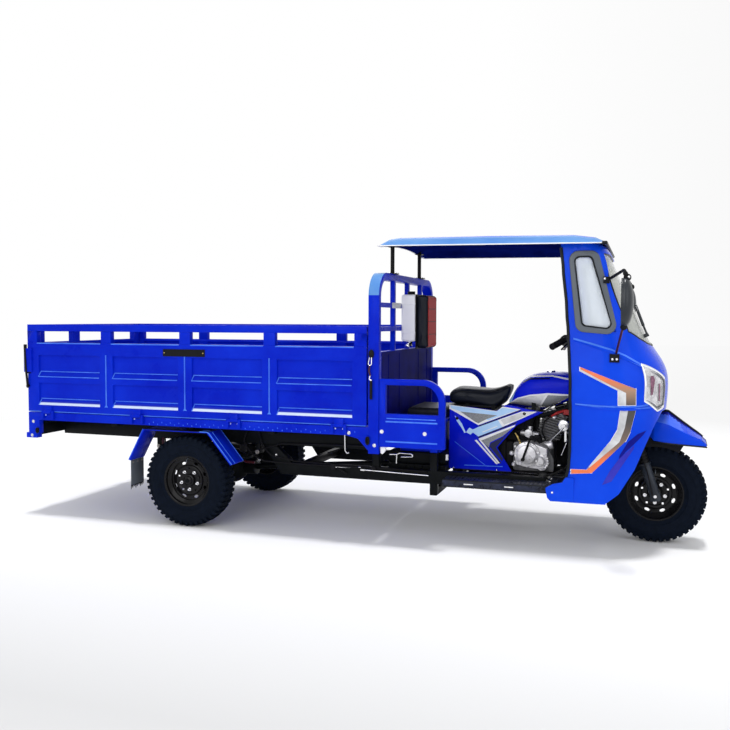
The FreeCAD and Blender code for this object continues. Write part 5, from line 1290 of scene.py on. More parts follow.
def buildUnderbody():
    outerRail = -0.358
    bright = [
        makeTube([(0.306, -0.3, 0.478), (0.352, -0.3, 0.48), (0.372, -0.3, 0.49), (0.45, -0.3, 0.488),
            (0.456, -0.3, 0.47), (0.38, -0.3, 0.466)], 0.0055, 0.012, 3),
        makeTube([(0.352, -0.3, 0.482), (0.35, -0.3, 0.424)], 0.0048, 0.01),
            makeTube([(0.159, outerRail - 0.012, 0.3835), (0.573, outerRail - 0.012, 0.3735)], 0.0045, 0.01),
        makeBar((0.14, outerRail - 0.012, 0.384), (0.166, outerRail - 0.012, 0.3832), 0.0095, sides=6),
            makeTube([(-0.045, outerRail - 0.006, 0.388), (0.04, outerRail - 0.006, 0.392),
            (0.14, outerRail - 0.012, 0.399)], 0.0038, 0.02),
        makeTube([(0.034, -0.372, 0.6), (0.036, -0.372, 0.5), (0.05, -0.372, 0.48), (0.062, -0.372, 0.488)], 0.0048,
            0.01),
        makeBar((-0.562, -0.3745, 0.402), (-0.562, -0.3605, 0.402), 0.0115, sides=6),
            makeBar((-0.44, -0.3645, 0.443), (-0.44, -0.3545, 0.443), 0.008, sides=6),
    ]
    put(bright, "brightRods", "brightSteel")
    dark = [makeTube(line, radius, 0.05, 3) for radius, line in (
        (0.005, [(-0.64, -0.37, 0.6), (-0.668, -0.38, 0.52), (-0.6, -0.38, 0.44), (-0.52, -0.37, 0.4),
            (-0.3, -0.368, 0.395), (0.14, -0.368, 0.397)]),
        (0.0042, [(-0.56, -0.37, 0.6), (-0.53, -0.38, 0.5), (-0.47, -0.376, 0.44), (-0.3, -0.368, 0.412),
            (0.56, -0.362, 0.395)]),
        (0.006, [(-0.9, -0.3, 0.345), (-0.7, -0.34, 0.42), (-0.56, -0.362, 0.47), (-0.4, -0.364, 0.52),
            (0.24, -0.368, 0.535)]),
        (0.0045, [(-0.02, -0.368, 0.388), (0.045, -0.37, 0.352)]),
            (0.0045, [(0.033, -0.36, 0.52), (-0.04, -0.34, 0.49), (-0.1, -0.32, 0.47)]),
        (0.006, [(-0.9, 0.3, 0.345), (-0.7, 0.34, 0.42), (-0.56, 0.362, 0.47), (-0.4, 0.364, 0.52),
            (0.24, 0.368, 0.535)]),
    )]
    dark += [makeBar((-0.941, -0.48, 0.395), (-0.941, -0.52, 0.395), 0.01),
            makeBlock((-0.06, -0.374, 0.372), (-0.03, -0.356, 0.408), 0.003),
            makeBlock((0.206, -0.374, 0.372), (0.236, -0.356, 0.408), 0.003),
             makeBlock((-0.69, -0.385, 0.452), (-0.646, -0.362, 0.506), 0.006, 3)]
    put(dark, "underCables", "blackPlastic")
    bolts, clamps = [], []
    for y in (-0.33, 0.33):
        for dx in (-0.048, 0.048):
            x = rearAxleX + dx
            clamps.append(makeTube([(x, y - 0.038, 0.386), (x, y - 0.038, 0.24), (x, y + 0.038, 0.24),
                    (x, y + 0.038, 0.386)], 0.0065, 0.03, 3))
            bolts += [((x, y - 0.038, 0.38), (0, 0, 1)), ((x, y + 0.038, 0.38), upwards)]
        clamps.append(makeBlock((rearAxleX - 0.066, y - 0.046, 0.376), (rearAxleX + 0.066, y + 0.046, 0.384), 0.002))
        for hx in (rearAxleX - 0.369, rearAxleX + 0.369):
            bolts += [((hx, y - 0.038, 0.457), outwards), ((hx, y + 0.038, 0.457), (0, 1, 0))]
    put(clamps, "springClamps", "chassisPaint")
    put([scatter(hexBolt(0.0095, 0.009), bolts)], "springNuts", "dullSteel")
    red = [makeTube([(-0.7, -0.345, 0.4), (-0.66, -0.352, 0.385), (-0.6, -0.352, 0.384)], 0.008, 0.02),
            makeBlock((-1.222, -0.47, 0.475), (-1.205, -0.455, 0.535), 0.003)]
    put(red, "redHose", "stemBrown")
    reflector = makeBlock((0.68, -0.376, 0.474), (0.693, -0.3555, 0.508), 0.002)
    putBoth([reflector], "sideReflector", "whiteFilm")
    tray = [makeBlock((0.292, -0.285, 0.376), (0.655, 0.285, 0.424), 0.006, 3),
            makeBlock((0.58, -0.262, 0.43), (0.655, 0.262, 0.498), 0.006, 3)]
    tray += [makeBar((0.31 + 0.05 * step, -0.2875, 0.382), (0.31 + 0.05 * step, -0.2875, 0.418), 0.004, 10)
            for step in range(7)]
    put(tray, "batteryTray", "chassisPaint")
    print("underbody ready")


# Engine
engineLook = {
    "cylinderFoot": (1.2435, 0, 0.5803), "lean": 16, "finAxis": Vector((0.2756, 0, 0.9613)),
    "clutch": (1.1365, 0.505), "gears": (1.2085, 0.462), "sump": (1.224, 0.434), "kickPivot": (1.116, 0.476),
        "kickTop": (1.158, 0.603),
    "starter": ((1.205, 0.541), (1.282, 0.56)), "carburettor": (1.146, 0.623), "intake": (1.186, 0.587),
        "horn": (1.346, 0.681),
}


def isFinEdge(face):      # the fins' front and rear edges
    return face.normal.length > 0 and abs(face.normal.y) < 0.3 and abs(face.normal.dot(engineLook["finAxis"])) < 0.3


def buildEngine():
    x, z = engineLook["clutch"]
    gx, gz = engineLook["gears"]
    block = makeBlock((1.0485, -0.11, 0.4), (1.2885, 0.11, 0.58), 0.03, 4)
    ribs = [makeBlock((1.06 + step * 0.034, -0.116, 0.396), (1.066 + step * 0.034, 0.116, 0.44), 0.002)
            for step in range(7)]
    seam = makePlate(roundOutline([(1.046, 0.394), (1.046, 0.566), (1.15, 0.586), (1.25, 0.56), (1.2915, 0.47),
            (1.2915, 0.394)], 0.014, 4), "y", -0.125, -0.11, 0.003)
    covers = []
    for side in (-1, 1):
        line = [(0.0, 0.1985), (0.05, 0.1985), (0.0545, 0.197), (0.057, 0.1925), (0.0585, 0.188), (0.0625, 0.187),
                (0.066, 0.1845), (0.0735, 0.1825),
                (0.074, 0.176), (0.074, 0.1), (0.0, 0.1)]
        if side > 0:
            line = [(a, b - 0.01) for a, b in line]
        covers.append(makeRound([(a, side * b) for a, b in line], (x, 0, z), steps=56, angle=25))
        line = [(0.0, 0.176), (0.026, 0.176), (0.031, 0.172), (0.034, 0.163), (0.043, 0.16), (0.046, 0.155),
                (0.046, 0.1), (0.0, 0.1)]
        covers.append(makeRound([(a, side * b) for a, b in line], (gx, 0, gz), steps=40, angle=25))
    sx, sz = engineLook["sump"]
    sump = makeRound([(0.0, -0.172), (0.012, -0.172), (0.015, -0.166), (0.026, -0.162), (0.03, -0.156), (0.03, -0.1),
            (0.0, -0.1)], (sx, 0, sz), steps=32, angle=25)
    web = makePlate([(x - 0.06, z + 0.045), (x + 0.02, z + 0.072), (x + 0.118, z + 0.036), (gx + 0.05, gz),
            (sx + 0.024, sz - 0.022),
                            (x + 0.01, z - 0.086), (x - 0.066, z - 0.07), (x - 0.082, z - 0.01)], "y", -0.16, -0.105,
                                0.006, 3)
    teeth = []
    for step in range(8):
        spot = Vector((gx, 0, gz)) + beside(-62 + step * 17, 0.052)
        teeth.append(makeBar(spot + Vector((0, -0.166, 0)), spot + Vector((0, -0.105, 0)), 0.0065, sides=10,
                edge=0.001))
    arms = []
    for angle in (35, 125):
        swing = beside(angle, 0.026)
        arms.append(makeBar(Vector((sx, -0.164, sz)) - swing, Vector((sx, -0.164, sz)) + swing, 0.0045, sides=10))
    starter0, starter1 = engineLook["starter"]
    starter = makeBar((starter0[0], -0.095, starter0[1]), (starter1[0], -0.095, starter1[1]), 0.026, sides=32,
            edge=0.005)
    nose = makeBar((starter0[0] - 0.03, -0.095, starter0[1] - 0.006), (starter0[0], -0.095, starter0[1]), 0.03,
            sides=32, edge=0.005)
    clamp = makeBar((1.238, -0.095, 0.549), (1.246, -0.095, 0.551), 0.0285, sides=32, edge=0.001)
    knobs = [makeBall((1.04, -0.15, 0.503), (0.014, 0.016, 0.014)),
            makeBar((1.04, -0.15, 0.503), (1.062, -0.12, 0.503), 0.008),
             makeBall((1.052, -0.14, 0.434), (0.013, 0.02, 0.013))]
    head = makeBlock((-0.05, -0.058, 0.15), (0.05, 0.058, 0.186), 0.01, 3)
    plug = makeBar((0.0, -0.06, 0.15), (0.0, -0.084, 0.158), 0.014, edge=0.002)
    lean = Matrix.Rotation(math.radians(engineLook["lean"]), 4, "Y")
    for piece in (head, plug):
        piece.data.transform(Matrix.Translation(engineLook["cylinderFoot"]) @ lean)
    dark = joinAll([coat(block, "darkAlloy"), seam] + ribs, "crankcase")
    bright = joinAll([coat(sump, "brightAlloy"), web, starter, nose, clamp] + covers + teeth + arms + knobs, "covers")
    fit(joinAll([coat(dark, "darkAlloy"), coat(bright, "brightAlloy")], "crankcase"), "chassis", None,
            ("engine_crankcase",))
    barrel = coat(softCopy("engine_cylinder", "barrel", 0.0009, 1), "darkAlloy")
    shaded(barrel, "brightAlloy", isFinEdge)
    barrel = joinAll([barrel, coat(head, "castAlloy"), coat(plug, "castAlloy")], "cylinderBarrel")
    fit(smoothBy(barrel, 30), "chassis", None, ("engine_cylinder",))

    bolts = []
    for step in range(8):
        across, up = around(45 * step + 12, 0.0685)
        bolts += [((x + across, -0.1838, z + up), outwards), ((x + across, 0.1738, z + up), (0, 1, 0))]
    corners = ((0.04, 0.034), (-0.074, 0.042), (-0.076, -0.052), (0.104, 0.03), (0.006, -0.078))
    bolts += facing(outwards, [(x + dx, -0.16, z + dz) for dx, dz in corners])
    put([scatter(hexBolt(0.0042, 0.004), bolts)], "coverBolts", "brightSteel")

    px, pz = engineLook["kickPivot"]
    tx, tz = engineLook["kickTop"]
    kick = [makeBar((px, -0.19, pz), (px, -0.222, pz), 0.011, edge=0.002),
            makeTube([(px, -0.214, pz), (px + 0.006, -0.22, pz + 0.02), (tx - 0.006, -0.22, tz - 0.02),
                (tx, -0.214, tz), (tx + 0.004, -0.186, tz + 0.01)], 0.0068, 0.02, 4),
            makeBar((tx + 0.004, -0.178, tz + 0.01), (tx + 0.012, -0.246, tz + 0.016), 0.0095, edge=0.003)]
    put(kick, "kickLever", "blackPaint")

    cx, cz = engineLook["carburettor"]
    ix, iz = engineLook["intake"]
    carb = [makeBar((cx - 0.01, -0.052, cz), (cx - 0.01, -0.118, cz), 0.026, edge=0.004),
            makeBar((cx + 0.004, -0.085, cz - 0.034), (cx + 0.004, -0.085, cz - 0.006), 0.022, edge=0.005),
            makeBar((cx - 0.006, -0.085, cz + 0.01), (cx - 0.002, -0.085, cz + 0.044), 0.018, edge=0.003),
                makeBar((cx - 0.062, -0.085, cz + 0.002), (cx + 0.05, -0.085, cz - 0.01), 0.019, edge=0.003),
            makeBar((cx + 0.022, -0.118, cz - 0.006), (cx + 0.022, -0.098, cz - 0.006), 0.006)]
    put(carb, "carburettor", "castAlloy")
    valve = [makeBar((ix, -0.066, iz), (ix, -0.124, iz), 0.03, edge=0.006)]
    for angle in (45, -45):
        swing = beside(angle, 0.03)
        valve.append(makeBar(Vector((ix, -0.124, iz)) - swing, Vector((ix, -0.124, iz)) + swing, 0.004))
    valve.append(makeTube([(cx - 0.06, -0.085, cz + 0.002), (cx - 0.13, -0.07, cz + 0.01),
            (cx - 0.21, -0.03, cz + 0.03), (cx - 0.24, 0.0, cz + 0.04)], 0.021, 0.06, 4))
    put(valve, "intake", "blackPlastic")
    airBox = [makeBlock((0.7, -0.112, 0.44), (1.005, 0.112, 0.735), 0.02, 3),
            makeBlock((0.98, -0.075, 0.56), (1.168, 0.06, 0.728), 0.018, 3),
            makeBlock((0.99, -0.1, 0.405), (1.046, 0.1, 0.57), 0.012, 3),
              makeBlock((1.15, -0.03, 0.6), (1.19, 0.05, 0.724), 0.006, 2),
              makeBlock((1.09, -0.06, 0.69), (1.15, 0.06, 0.765), 0.01, 3)]
    airBox += [makeBlock((0.716 + 0.036 * step, -0.1155, 0.462), (0.724 + 0.036 * step, 0.1155, 0.712), 0.002)
            for step in range(8)]
    put(airBox, "airBox", "blackPlastic")
    cowl = makePlate(roundOutline([(1.226, 0.38), (1.226, 0.61), (1.26, 0.775), (1.44, 0.795), (1.45, 0.6),
            (1.45, 0.38)], 0.012, 4), "y", 0.2465, 0.2505, 0.0015)
    foot = makeBlock((1.232, 0.2465, 0.3785), (1.444, 0.276, 0.3825), 0.001)
    put([cowl, foot], "leftCowl", "blackPlastic")
    tray = makeBlock((0.64, -0.15, 0.3845), (1.5, 0.15, 0.3905), 0.002)
    put([tray], "centreTray", "blackPlastic")

    hx, hz = engineLook["horn"]
    horn = makeRound([(0.0, -0.132), (0.01, -0.132), (0.012, -0.126), (0.03, -0.124), (0.0355, -0.12), (0.037, -0.114),
            (0.035, -0.108), (0.022, -0.104), (0.016, -0.086), (0.0, -0.086)], (hx, 0, hz), steps=40, angle=25)
    bracket = makeBlock((hx + 0.004, -0.112, hz - 0.1), (hx + 0.018, -0.104, hz - 0.02), 0.002)
    rods = [makeTube([(1.262, -0.1, 0.578), (1.33, -0.128, 0.65), (1.344, -0.128, 0.672)], 0.0062, 0.02, 4),
            makeTube([(1.338, -0.15, 0.505), (1.366, -0.15, 0.578), (1.368, -0.12, 0.6)], 0.0042, 0.01)]
    put([horn, bracket] + rods, "hornAndPipe", "brightSteel")
    cap = [makeTube([(1.262, -0.084, 0.73), (1.3, -0.108, 0.752), (1.35, -0.09, 0.77)], 0.0085, 0.02, 4),
            makeBlock((1.342, -0.11, 0.744), (1.384, -0.062, 0.776), 0.006, 3)]
    put(cap, "plugCap", "redRubber")
    cock = [makeBar((1.072, -0.148, 0.612), (1.086, -0.14, 0.576), 0.0062, edge=0.001),
            makeBar((1.06, -0.15, 0.628), (1.074, -0.146, 0.606), 0.0045), makeBall((1.09, -0.138, 0.566), 0.008)]
    put(cock, "fuelCock", "brass")
    wires = [makeTube(line, radius, 0.03) for radius, line in (
        (0.0035, [(1.06, -0.14, 0.632), (1.088, -0.15, 0.64), (1.11, -0.13, 0.66), (1.12, -0.06, 0.78)]),
        (0.0035, [(1.09, -0.138, 0.566), (1.12, -0.14, 0.585), (1.138, -0.11, 0.59)]),
        (0.004, [(1.15, -0.085, 0.664), (1.17, -0.1, 0.72), (1.28, -0.11, 0.8), (1.4, -0.09, 0.86)]),
        (0.0032, [(1.06, -0.11, 0.56), (1.05, -0.13, 0.6), (1.02, -0.12, 0.7), (1.01, -0.08, 0.77)]),
        (0.0045, [(1.235, -0.085, 0.585), (1.215, -0.11, 0.64), (1.23, -0.1, 0.7), (1.33, -0.08, 0.79)]),
        (0.0035, [(1.366, -0.12, 0.69), (1.4, -0.12, 0.66), (1.41, -0.08, 0.56), (1.38, -0.06, 0.43)]),
    )]
    put(wires, "engineWires", "blackPlastic")
    gear = [makeTube([(1.2, -0.2, 0.4), (1.24, -0.24, 0.388), (1.288, -0.25, 0.4), (1.354, -0.25, 0.436)], 0.0062,
            0.02, 4),
            makeTube([(1.236, -0.235, 0.392), (1.29, -0.262, 0.368), (1.33, -0.262, 0.366)], 0.0055, 0.02, 4),
            makeBar((1.35, -0.232, 0.436), (1.358, -0.29, 0.437), 0.011, edge=0.003),
            makeTube([(1.18, 0.262, 0.395), (1.28, 0.275, 0.4), (1.36, 0.29, 0.44)], 0.0075, 0.03, 4),
            makeBlock((1.335, 0.258, 0.436), (1.385, 0.325, 0.446), 0.003)]
    put(gear, "footLevers", "blackPaint")
    print("engine ready")


# Soft goods
softSizes = {
    "seat": {"shrink": (0.985, 0.965, 0.94), "voxel": 0.005, "cap": 0.007, "fill": 0.6},
    "backrest": {"shrink": (0.9, 0.965, 0.975), "voxel": 0.005, "cap": 0.007, "fill": 0.7},
    "deck_cushion": {"shrink": (0.97, 0.98, 0.88), "voxel": 0.005, "cap": 0.006, "fill": 0.6},
}


def makePad(node, name, finishName):      # a slightly smaller copy that cloth pressure swells
    sizes = softSizes[node]
    pad = copyNode(node, name)
    spots = [v.co.copy() for v in pad.data.vertices]
    low = Vector([min(p[i] for p in spots) for i in range(3)])
    high = Vector([max(p[i] for p in spots) for i in range(3)])
    heart = Vector(((low.x + high.x) / 2, (low.y + high.y) / 2, (low.z + high.z) / 2))
    for vertex in pad.data.vertices:
        away = vertex.co - heart
        vertex.co = heart + Vector([a * b for a, b in zip(away, sizes["shrink"])])
    useModifier(pad, "REMESH", mode="VOXEL", voxel_size=sizes["voxel"])
    before = [v.co.copy() for v in pad.data.vertices]
    take(pad)
    cloth = pad.modifiers.new("cloth", "CLOTH")
    cloth.settings.use_pressure = True
    cloth.settings.uniform_pressure_force = 4.0
    cloth.settings.effector_weights.gravity = 0.0
    cloth.point_cache.frame_start, cloth.point_cache.frame_end = 1, 20
    for step in range(1, 21):
        bpy.context.scene.frame_set(step)
    bpy.ops.object.modifier_apply(modifier=cloth.name)
    bpy.context.scene.frame_set(1)
    for vertex, spot in zip(pad.data.vertices, before):
        move = vertex.co - spot
        if move.length > sizes["cap"]:
            move *= sizes["cap"] / move.length
        vertex.co = spot + move
        for i in range(3):      # never outside the room that the solid takes up
            vertex.co[i] = min(max(vertex.co[i], low[i]), high[i])
    useModifier(pad, "SUBSURF", levels=1, render_levels=1)
    return coat(smoothBy(pad, 60), finishName)


def surfaceSpot(pad, start, direction):
    hit, spot = pad.ray_cast(Vector(start), Vector(direction))[:2]
    return spot if hit else None


def isRedField(face):      # the field inside the backrest's piping
    x, y, z = face.center
    return x > 0.498 and abs(y + 0.07) < 0.106 and abs(z - 1.305) < 0.16


def buildSoft():
    seat = makePad("seat", "seatPad", "seatVinyl")
    bpy.context.view_layer.update()
    line = []
    for step in range(25):      # the piping that runs round the seat below its top panel
        x = 0.66 + 0.345 * step / 24
        rise = 0.03 * max(0.0, (x - 0.9) / 0.1) - 0.02 * max(0.0, (0.7 - x) / 0.04)
        spot = surfaceSpot(seat, (x, -0.3, 0.868 + rise), (0, 1, 0))
        if spot:
            line.append(spot + Vector((0, -0.0005, 0)))
    piping = bothSides(makeTube(line, 0.0028, 0.02, 3), "seatPiping")
    fit(seat, "chassis", None, ("seat",))
    fit(piping, "chassis", "blackPlastic")
    base = makeBlock((0.668, -0.12, 0.77), (0.94, 0.12, 0.786), 0.005)
    put([base], "seatBase", "blackPlastic")

    back = makePad("backrest", "backrestPad", "seatVinyl")
    shaded(back, "redVinyl", isRedField)
    bpy.context.view_layer.update()
    ring = [(-0.07 + 0.108 * sx, 1.305 + 0.162 * sz)
            for sx, sz in roundOutline([(-1, -1), (1, -1), (1, 1), (-1, 1)], 0.2, 4)]
    line = [surfaceSpot(back, (0.7, y, z), (-1, 0, 0)) for y, z in ring + ring[:1]]
    seams = [makeTube([spot for spot in line if spot], 0.003, 0.01, 3, False)]
    for z in (1.225, 1.305, 1.385):
        channel = [surfaceSpot(back, (0.7, -0.17 + 0.2 * step / 10, z), (-1, 0, 0)) for step in range(11)]
        seams.append(makeTube([spot for spot in channel if spot], 0.0018, 0.01, 2))
    fit(back, "chassis", None, ("backrest",))
    put(seams, "backrestPiping", "blackPlastic")
    board = makeBlock((0.4385, -0.196, 1.134), (0.445, 0.056, 1.476), 0.002)
    put([board], "backrestBoard", "blackPlastic")

    cushion = makePad("deck_cushion", "deckPad", "seatVinyl")
    bpy.context.view_layer.update()
    line = [surfaceSpot(cushion, (x, y, 0.9), (0, 0, -1))
            for x, y in [(0.509 + 0.108 * sx, 0.19 * sy)
            for sx, sy in roundOutline([(-1, -1), (1, -1), (1, 1), (-1, 1)], 0.15, 4)]]
    fit(cushion, "chassis", None, ("deck_cushion",))
    put([makeTube([spot for spot in line + line[:1] if spot], 0.0028, 0.01, 3, False)], "deckPiping", "blackPlastic")
    print("soft goods ready")


# Fork, handlebar, fender, boards, tank, dashboard
def legSpot(y, z):      # on the middle line of a fork leg
    return Vector((frontAxleX - math.tan(math.radians(18)) * (z - axleZ), y, z))


def buildFront():
    sleeves, rings = [], []
    for y in (-0.108, 0.108):
        sleeves.append(makeBar(legSpot(y, 0.262), legSpot(y, 0.47), 0.0295, 32, 0.004))
        sleeves.append(makeBar(legSpot(y, 0.47), legSpot(y, 0.48), 0.0325, 32, 0.002))
        sleeves.append(makeBlock((frontAxleX - 0.03, y - 0.02, axleZ - 0.032),
                (frontAxleX + 0.03, y + 0.02, axleZ + 0.022), 0.01, 3))
        for step in range(9):
            z = 0.49 + 0.018 * step
            rings.append(makeBar(legSpot(y, z), legSpot(y, z + 0.014), 0.03 - 0.0006 * step, 28, 0.0045, 0.0255))
        rings.append(makeBar(legSpot(y, 0.478), legSpot(y, 0.66), 0.0235, 24))
    put(sleeves, "forkSleeves", "sleeveGrey", "steering")
    dressed("front_fork", "frontFork", slotFinish[nodeSlot["front_fork"]], 0.0015)
    put(rings, "forkGaiters", "blackPlastic", "steering")
    nuts = [((frontAxleX, -0.131, axleZ), outwards), ((frontAxleX, 0.131, axleZ), (0, 1, 0))]
    put([scatter(hexBolt(0.0112, 0.01), nuts)], "axleNuts", "brightSteel", "steering")
    hose = makeTube([legSpot(-0.146, 0.3) + Vector((-0.012, 0, 0)), legSpot(-0.147, 0.42), legSpot(-0.147, 0.56),
            legSpot(-0.12, 0.76)], 0.0038, 0.05)
    put([hose], "brakeHose", "blackPlastic", "steering")
    def rim(reach, angles):      # spots round the front axle, from the top forwards
        return [(frontAxleX + ahead, axleZ + up) for up, ahead in (around(angle, reach) for angle in angles)]
    arc = rim(0.301, [-34 + 61 * k / 18 for k in range(19)])
    back = [(frontAxleX + 0.16, 0.602), (frontAxleX + 0.06, 0.64), (frontAxleX - 0.04, 0.65),
            (frontAxleX - 0.12, 0.625), (frontAxleX - 0.185, 0.56)]
    guard = makePlate(arc + back, "y", -0.0765, 0.0765, 0.003)
    inside = rim(0.283, range(-34, 28, 3)) + rim(0.306, range(27, -36, -3))
    skirt = makePlate(inside, "y", -0.0765, -0.0738, 0.0008, 1)
    put([guard, skirt, bareTwin(skirt, "skirt")], "innerMudguard", "blackPlastic", "steering")

    # the fender's upper side facet takes a painted highlight
    dressed("front_fender", "frontFender", "bluePlastic", 0.003, [
        ("fenderShine", lambda face: face.center.z > 0.655 and face.normal.z > 0.15 and abs(face.normal.y) > 0.25),
        ("deepBlue", lambda face: face.normal.z > 0.35 and abs(face.center.y) < 0.045)])
    skin = keepFaces(copyNode("front_fender", "fenderSkin"), lambda face: face.normal.z > 0.1)
    skin.data.update()
    ridge = []
    for step in range(12):
        x = 1.83 + 0.3 * step / 11
        hit, spot = skin.ray_cast((x, 0.0, 1.2), (0, 0, -1))[:2]
        if hit:
            ridge.append(spot + Vector((0, 0, 0.001)))
    bpy.data.objects.remove(skin)
    trim = [makeTube([spot + Vector((0, y, 0)) for spot in ridge], 0.0055, 0.02, 3) for y in (-0.012, 0.012)]
    lower = keepFaces(copyNode("front_fender", "fenderLip"), lambda face: face.normal.z > -0.2)
    lip = cutAway(edgeTube(lower, 0.0045, "fenderLip", 3), (1.8, 0, 0), (-1, 0, 0))
    put(trim + [lip], "fenderTrim", "edgeRubber", "steering")

    bar = dressed("handlebar", "handlebar", "blackPaint", 0.0)
    ends = [v.co.copy() for v in bar.data.vertices]
    tipY = min(p.y for p in ends)
    near = [p for p in ends if p.y < tipY + 0.002]
    tip = sum(near, Vector()) / len(near)
    far = [p for p in ends if tipY + 0.11 < p.y < tipY + 0.13]
    inner = sum(far, Vector()) / len(far) if far else tip + Vector((0.02, 0.12, 0.005))
    run = (inner - tip).normalized()
    reach = (inner - tip).length
    grip = [makeBar(tip - run * 0.004, tip + run * reach * 0.95, 0.0175, 28, 0.003)]
    grip += [makeBar(tip + run * (0.01 + 0.0105 * step), tip + run * (0.0155 + 0.0105 * step), 0.019, 24, 0.001)
            for step in range(9)]
    grip.append(makeBar(tip - run * 0.012, tip - run * 0.002, 0.02, 28, 0.003))
    grip.append(makeBlock(inner + Vector((-0.02, -0.004, -0.022)), inner + Vector((0.02, 0.036, 0.022)), 0.007, 3))
    putBoth(grip, "grips", "blackPlastic", "steering")
    ahead = Vector((0.055, 0, -0.012))
    lever = makeTube([inner + Vector((0.018, 0.03, 0)), inner + ahead * 0.9 + Vector((0, 0.014, 0)),
            tip + run * 0.045 + ahead, tip + ahead * 1.15], 0.0052, 0.03, 4)
    putBoth([lever, makeBall(tip + ahead * 1.15, 0.0085)], "levers", "dullSteel", "steering")
    cables = [makeTube([inner + Vector((0.03, 0.02, 0.01)), inner + Vector((0.11, 0.1, 0.05)),
            inner + Vector((0.15, 0.24, 0.01)), inner + Vector((0.13, 0.3, -0.12))], radius, 0.08)
            for radius in (0.0035, 0.0045)]
    cables[1].data.transform(Matrix.Translation((0.006, 0.012, 0.01)))
    putBoth(cables, "barCables", "blackPlastic", "steering")

    dressed("footboards", "footboards", "boardRubber", 0.0012)
    studs = []
    for column in range(20):
        for row in range(8):
            x, y = 1.02 + 0.024 * column, -0.25 - 0.03 * row
            studs.append(((x, y, 0.38), upwards))
            if column % 2 == 0:
                studs.append(((0.7 + 0.012 * column, y, 0.38), upwards))
    stud = makeBar((0, 0, -0.001), (0, 0, 0.0024), 0.0075, 6, tip=0.0055)
    putBoth([scatter(stud, studs)], "boardStuds", "boardRubber")
    slots = [makeBlock((a, -0.5035, 0.3585), (b, -0.499, 0.365), 0.002) for a, b in ((0.816, 0.871), (1.052, 1.104))]
    putBoth(slots, "boardSlots", "whiteFilm")
    edge = [makeBar((0.69, -0.4985, 0.38), (1.508, -0.4985, 0.38), 0.0035, 10),
            makeBar((0.69, -0.4985, 0.342), (1.508, -0.4985, 0.342), 0.003, 10)]
    putBoth(edge, "boardEdges", "edgeRubber")

    for name, places, finishName, template in (
        ("coverRivets", [(0.684, 0.398), (0.954, 0.398)], "brightSteel", domeBolt(0.0045, 0.003)),
        ("coverBolts", [(1.118, 0.75), (0.704, 0.706)], "blackPlastic", domeBolt(0.0095, 0.004)),
        ("coverBoltHeads", [(1.118, 0.75)], "dullSteel", domeBolt(0.004, 0.006)),
    ):
        putBoth([scatter(template, facing(outwards, [(x, -0.1765, z) for x, z in places]))], name, finishName)
    # ridges on the side covers, coloured as painted highlights
    ridges = [makeBar((0.752, -0.1745, 0.4165), (0.99, -0.1745, 0.4205), 0.003, 10),
            makeBar((0.69, -0.1745, 0.56), (0.88, -0.1745, 0.425), 0.0022, 10)]
    putBoth(ridges, "coverRidges", "shineBlue")

    cap = makeRound([(0.0, 1.0085), (0.02, 1.008), (0.026, 1.005), (0.0275, 0.998), (0.0275, 0.985), (0.0, 0.985)],
            (1.255, 0.0, 0.0), axis="z", steps=36)
    put([cap], "tankCap", "chrome")
    dressed("dashboard", "dashboard", "blackPlastic", 0.004)
    pod = makeRound([(0.0, -0.03), (0.052, -0.03), (0.058, -0.022), (0.058, 0.026), (0.054, 0.03), (0.0495, 0.03),
            (0.0475, 0.022), (0.0, 0.022)], (0, 0, 0), axis="z", steps=40)
    dial = makeRound([(0.0, 0.0245), (0.0465, 0.0245), (0.0465, 0.0215), (0.0, 0.0215)], (0, 0, 0), axis="z",
            steps=40)
    needle = makeBlock((-0.002, -0.004, 0.0245), (0.002, 0.036, 0.0262), 0)
    ticks = [makeBlock((-0.001, 0.036, 0.0243), (0.001, 0.043, 0.0252), 0) for step in range(9)]
    for step, tick in enumerate(ticks):
        tick.data.transform(Matrix.Rotation(math.radians(-120 + 30 * step), 4, "Z"))
    place = Matrix.Translation((1.66, 0.0, 1.182)) @ Matrix.Rotation(math.radians(-52), 4, "Y")
    for pieces, name, finishName, slot in (
            ([pod], "gaugePod", "blackPlastic", "black_plastic"), ([dial], "gaugeDial", "rimPaint", "black_plastic"),
            ([needle] + ticks, "gaugeMarks", "whiteFilm", "lamp_lens")):
        put(pieces, name, finishName).data.transform(place)

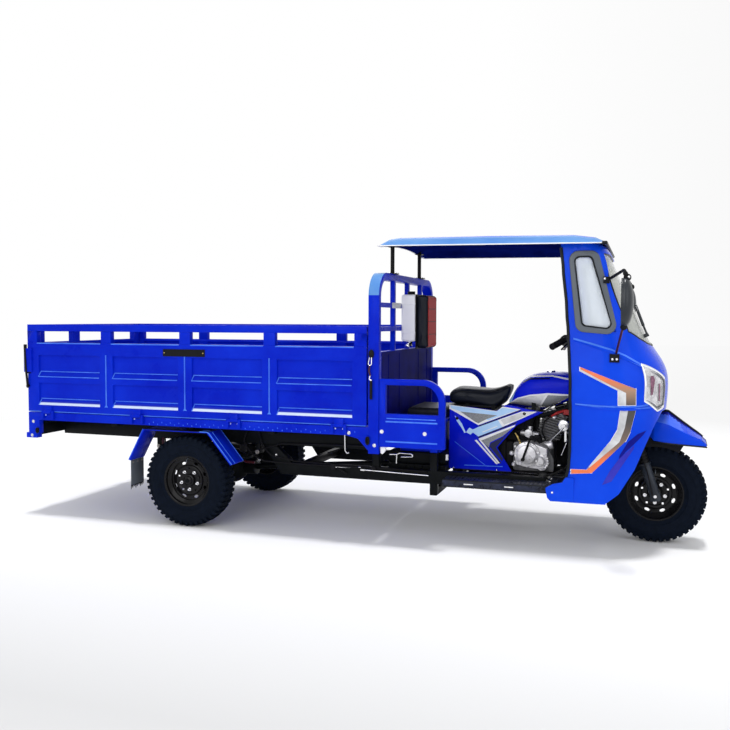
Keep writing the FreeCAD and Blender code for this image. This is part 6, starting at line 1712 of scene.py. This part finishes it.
    dressed("water_tank", "waterTank", "whiteTank", 0.0, [
        ("blackPlastic", lambda face: face.center.z > 1.4765), ("brightSteel", lambda face: face.center.z < 1.179)])
    bands = [makeBlock((0.3455, -0.1925, z), (0.4395, 0.1325, z + 0.01), 0.003) for z in (1.232, 1.412)]
    put(bands, "tankBands", "whiteTank")
    taps = [makeBar((0.392, -0.15, 1.164), (0.392, -0.205, 1.16), 0.0085, 16, 0.002),
            makeBar((0.38, -0.18, 1.178), (0.404, -0.18, 1.178), 0.0055, 12), makeBall((0.392, -0.206, 1.154), 0.011),
            makeBar((0.392, 0.01, 1.176), (0.392, 0.01, 1.15), 0.008, 16, 0.002)]
    put(taps, "tankTaps", "chrome")
    print("front ready")


# Plain dressed nodes
plainNodes = {
    "chassis_rails": ("chassisRails", 0.004), "chassis_cross_tubes": ("crossTubes", 0.003),
        "main_frame": ("mainFrame", 0.0), "battery_box": ("batteryBox", 0.006),
    "subframe_rails": ("bedRails", 0.003), "subframe_bearers": ("bedBearers", 0.002), "bed_deck": ("bedDeck", 0.0008),
    "bed_sills": ("bedSills", 0.002), "seat_guards": ("seatGuards", 0.004),
    "rear_platform": ("rearPlatform", 0.003), "roof_posts": ("roofPosts", 0.0),
    "side_covers": ("sideCovers", 0.004), "inner_shield": ("innerShield", 0.001),
    "rear_axle": ("rearAxle", 0.003), "leaf_springs": ("leafSprings", 0.0012),
    "mud_flaps": ("mudFlaps", 0.001), 
    "side_rail_right": ("sideRailRight", 0.0015), "side_rail_left": ("sideRailLeft", 0.0015),
        "exhaust": ("exhaustPipe", 0.0015),
    "fuel_tank": ("fuelTank", 0.0),
}


def buildPlainNodes():
    for node, (name, edge) in plainNodes.items():
        dressed(node, name, "coverBlue" if node in ("side_covers", "fuel_tank") else slotFinish[nodeSlot[node]], edge)
    print("plain nodes dressed")


buildStage()
buildWheels()
buildPlainNodes()
buildGraphics()
buildCab()
buildBed()
buildUnderbody()
buildEngine()
buildFront()
buildSoft()
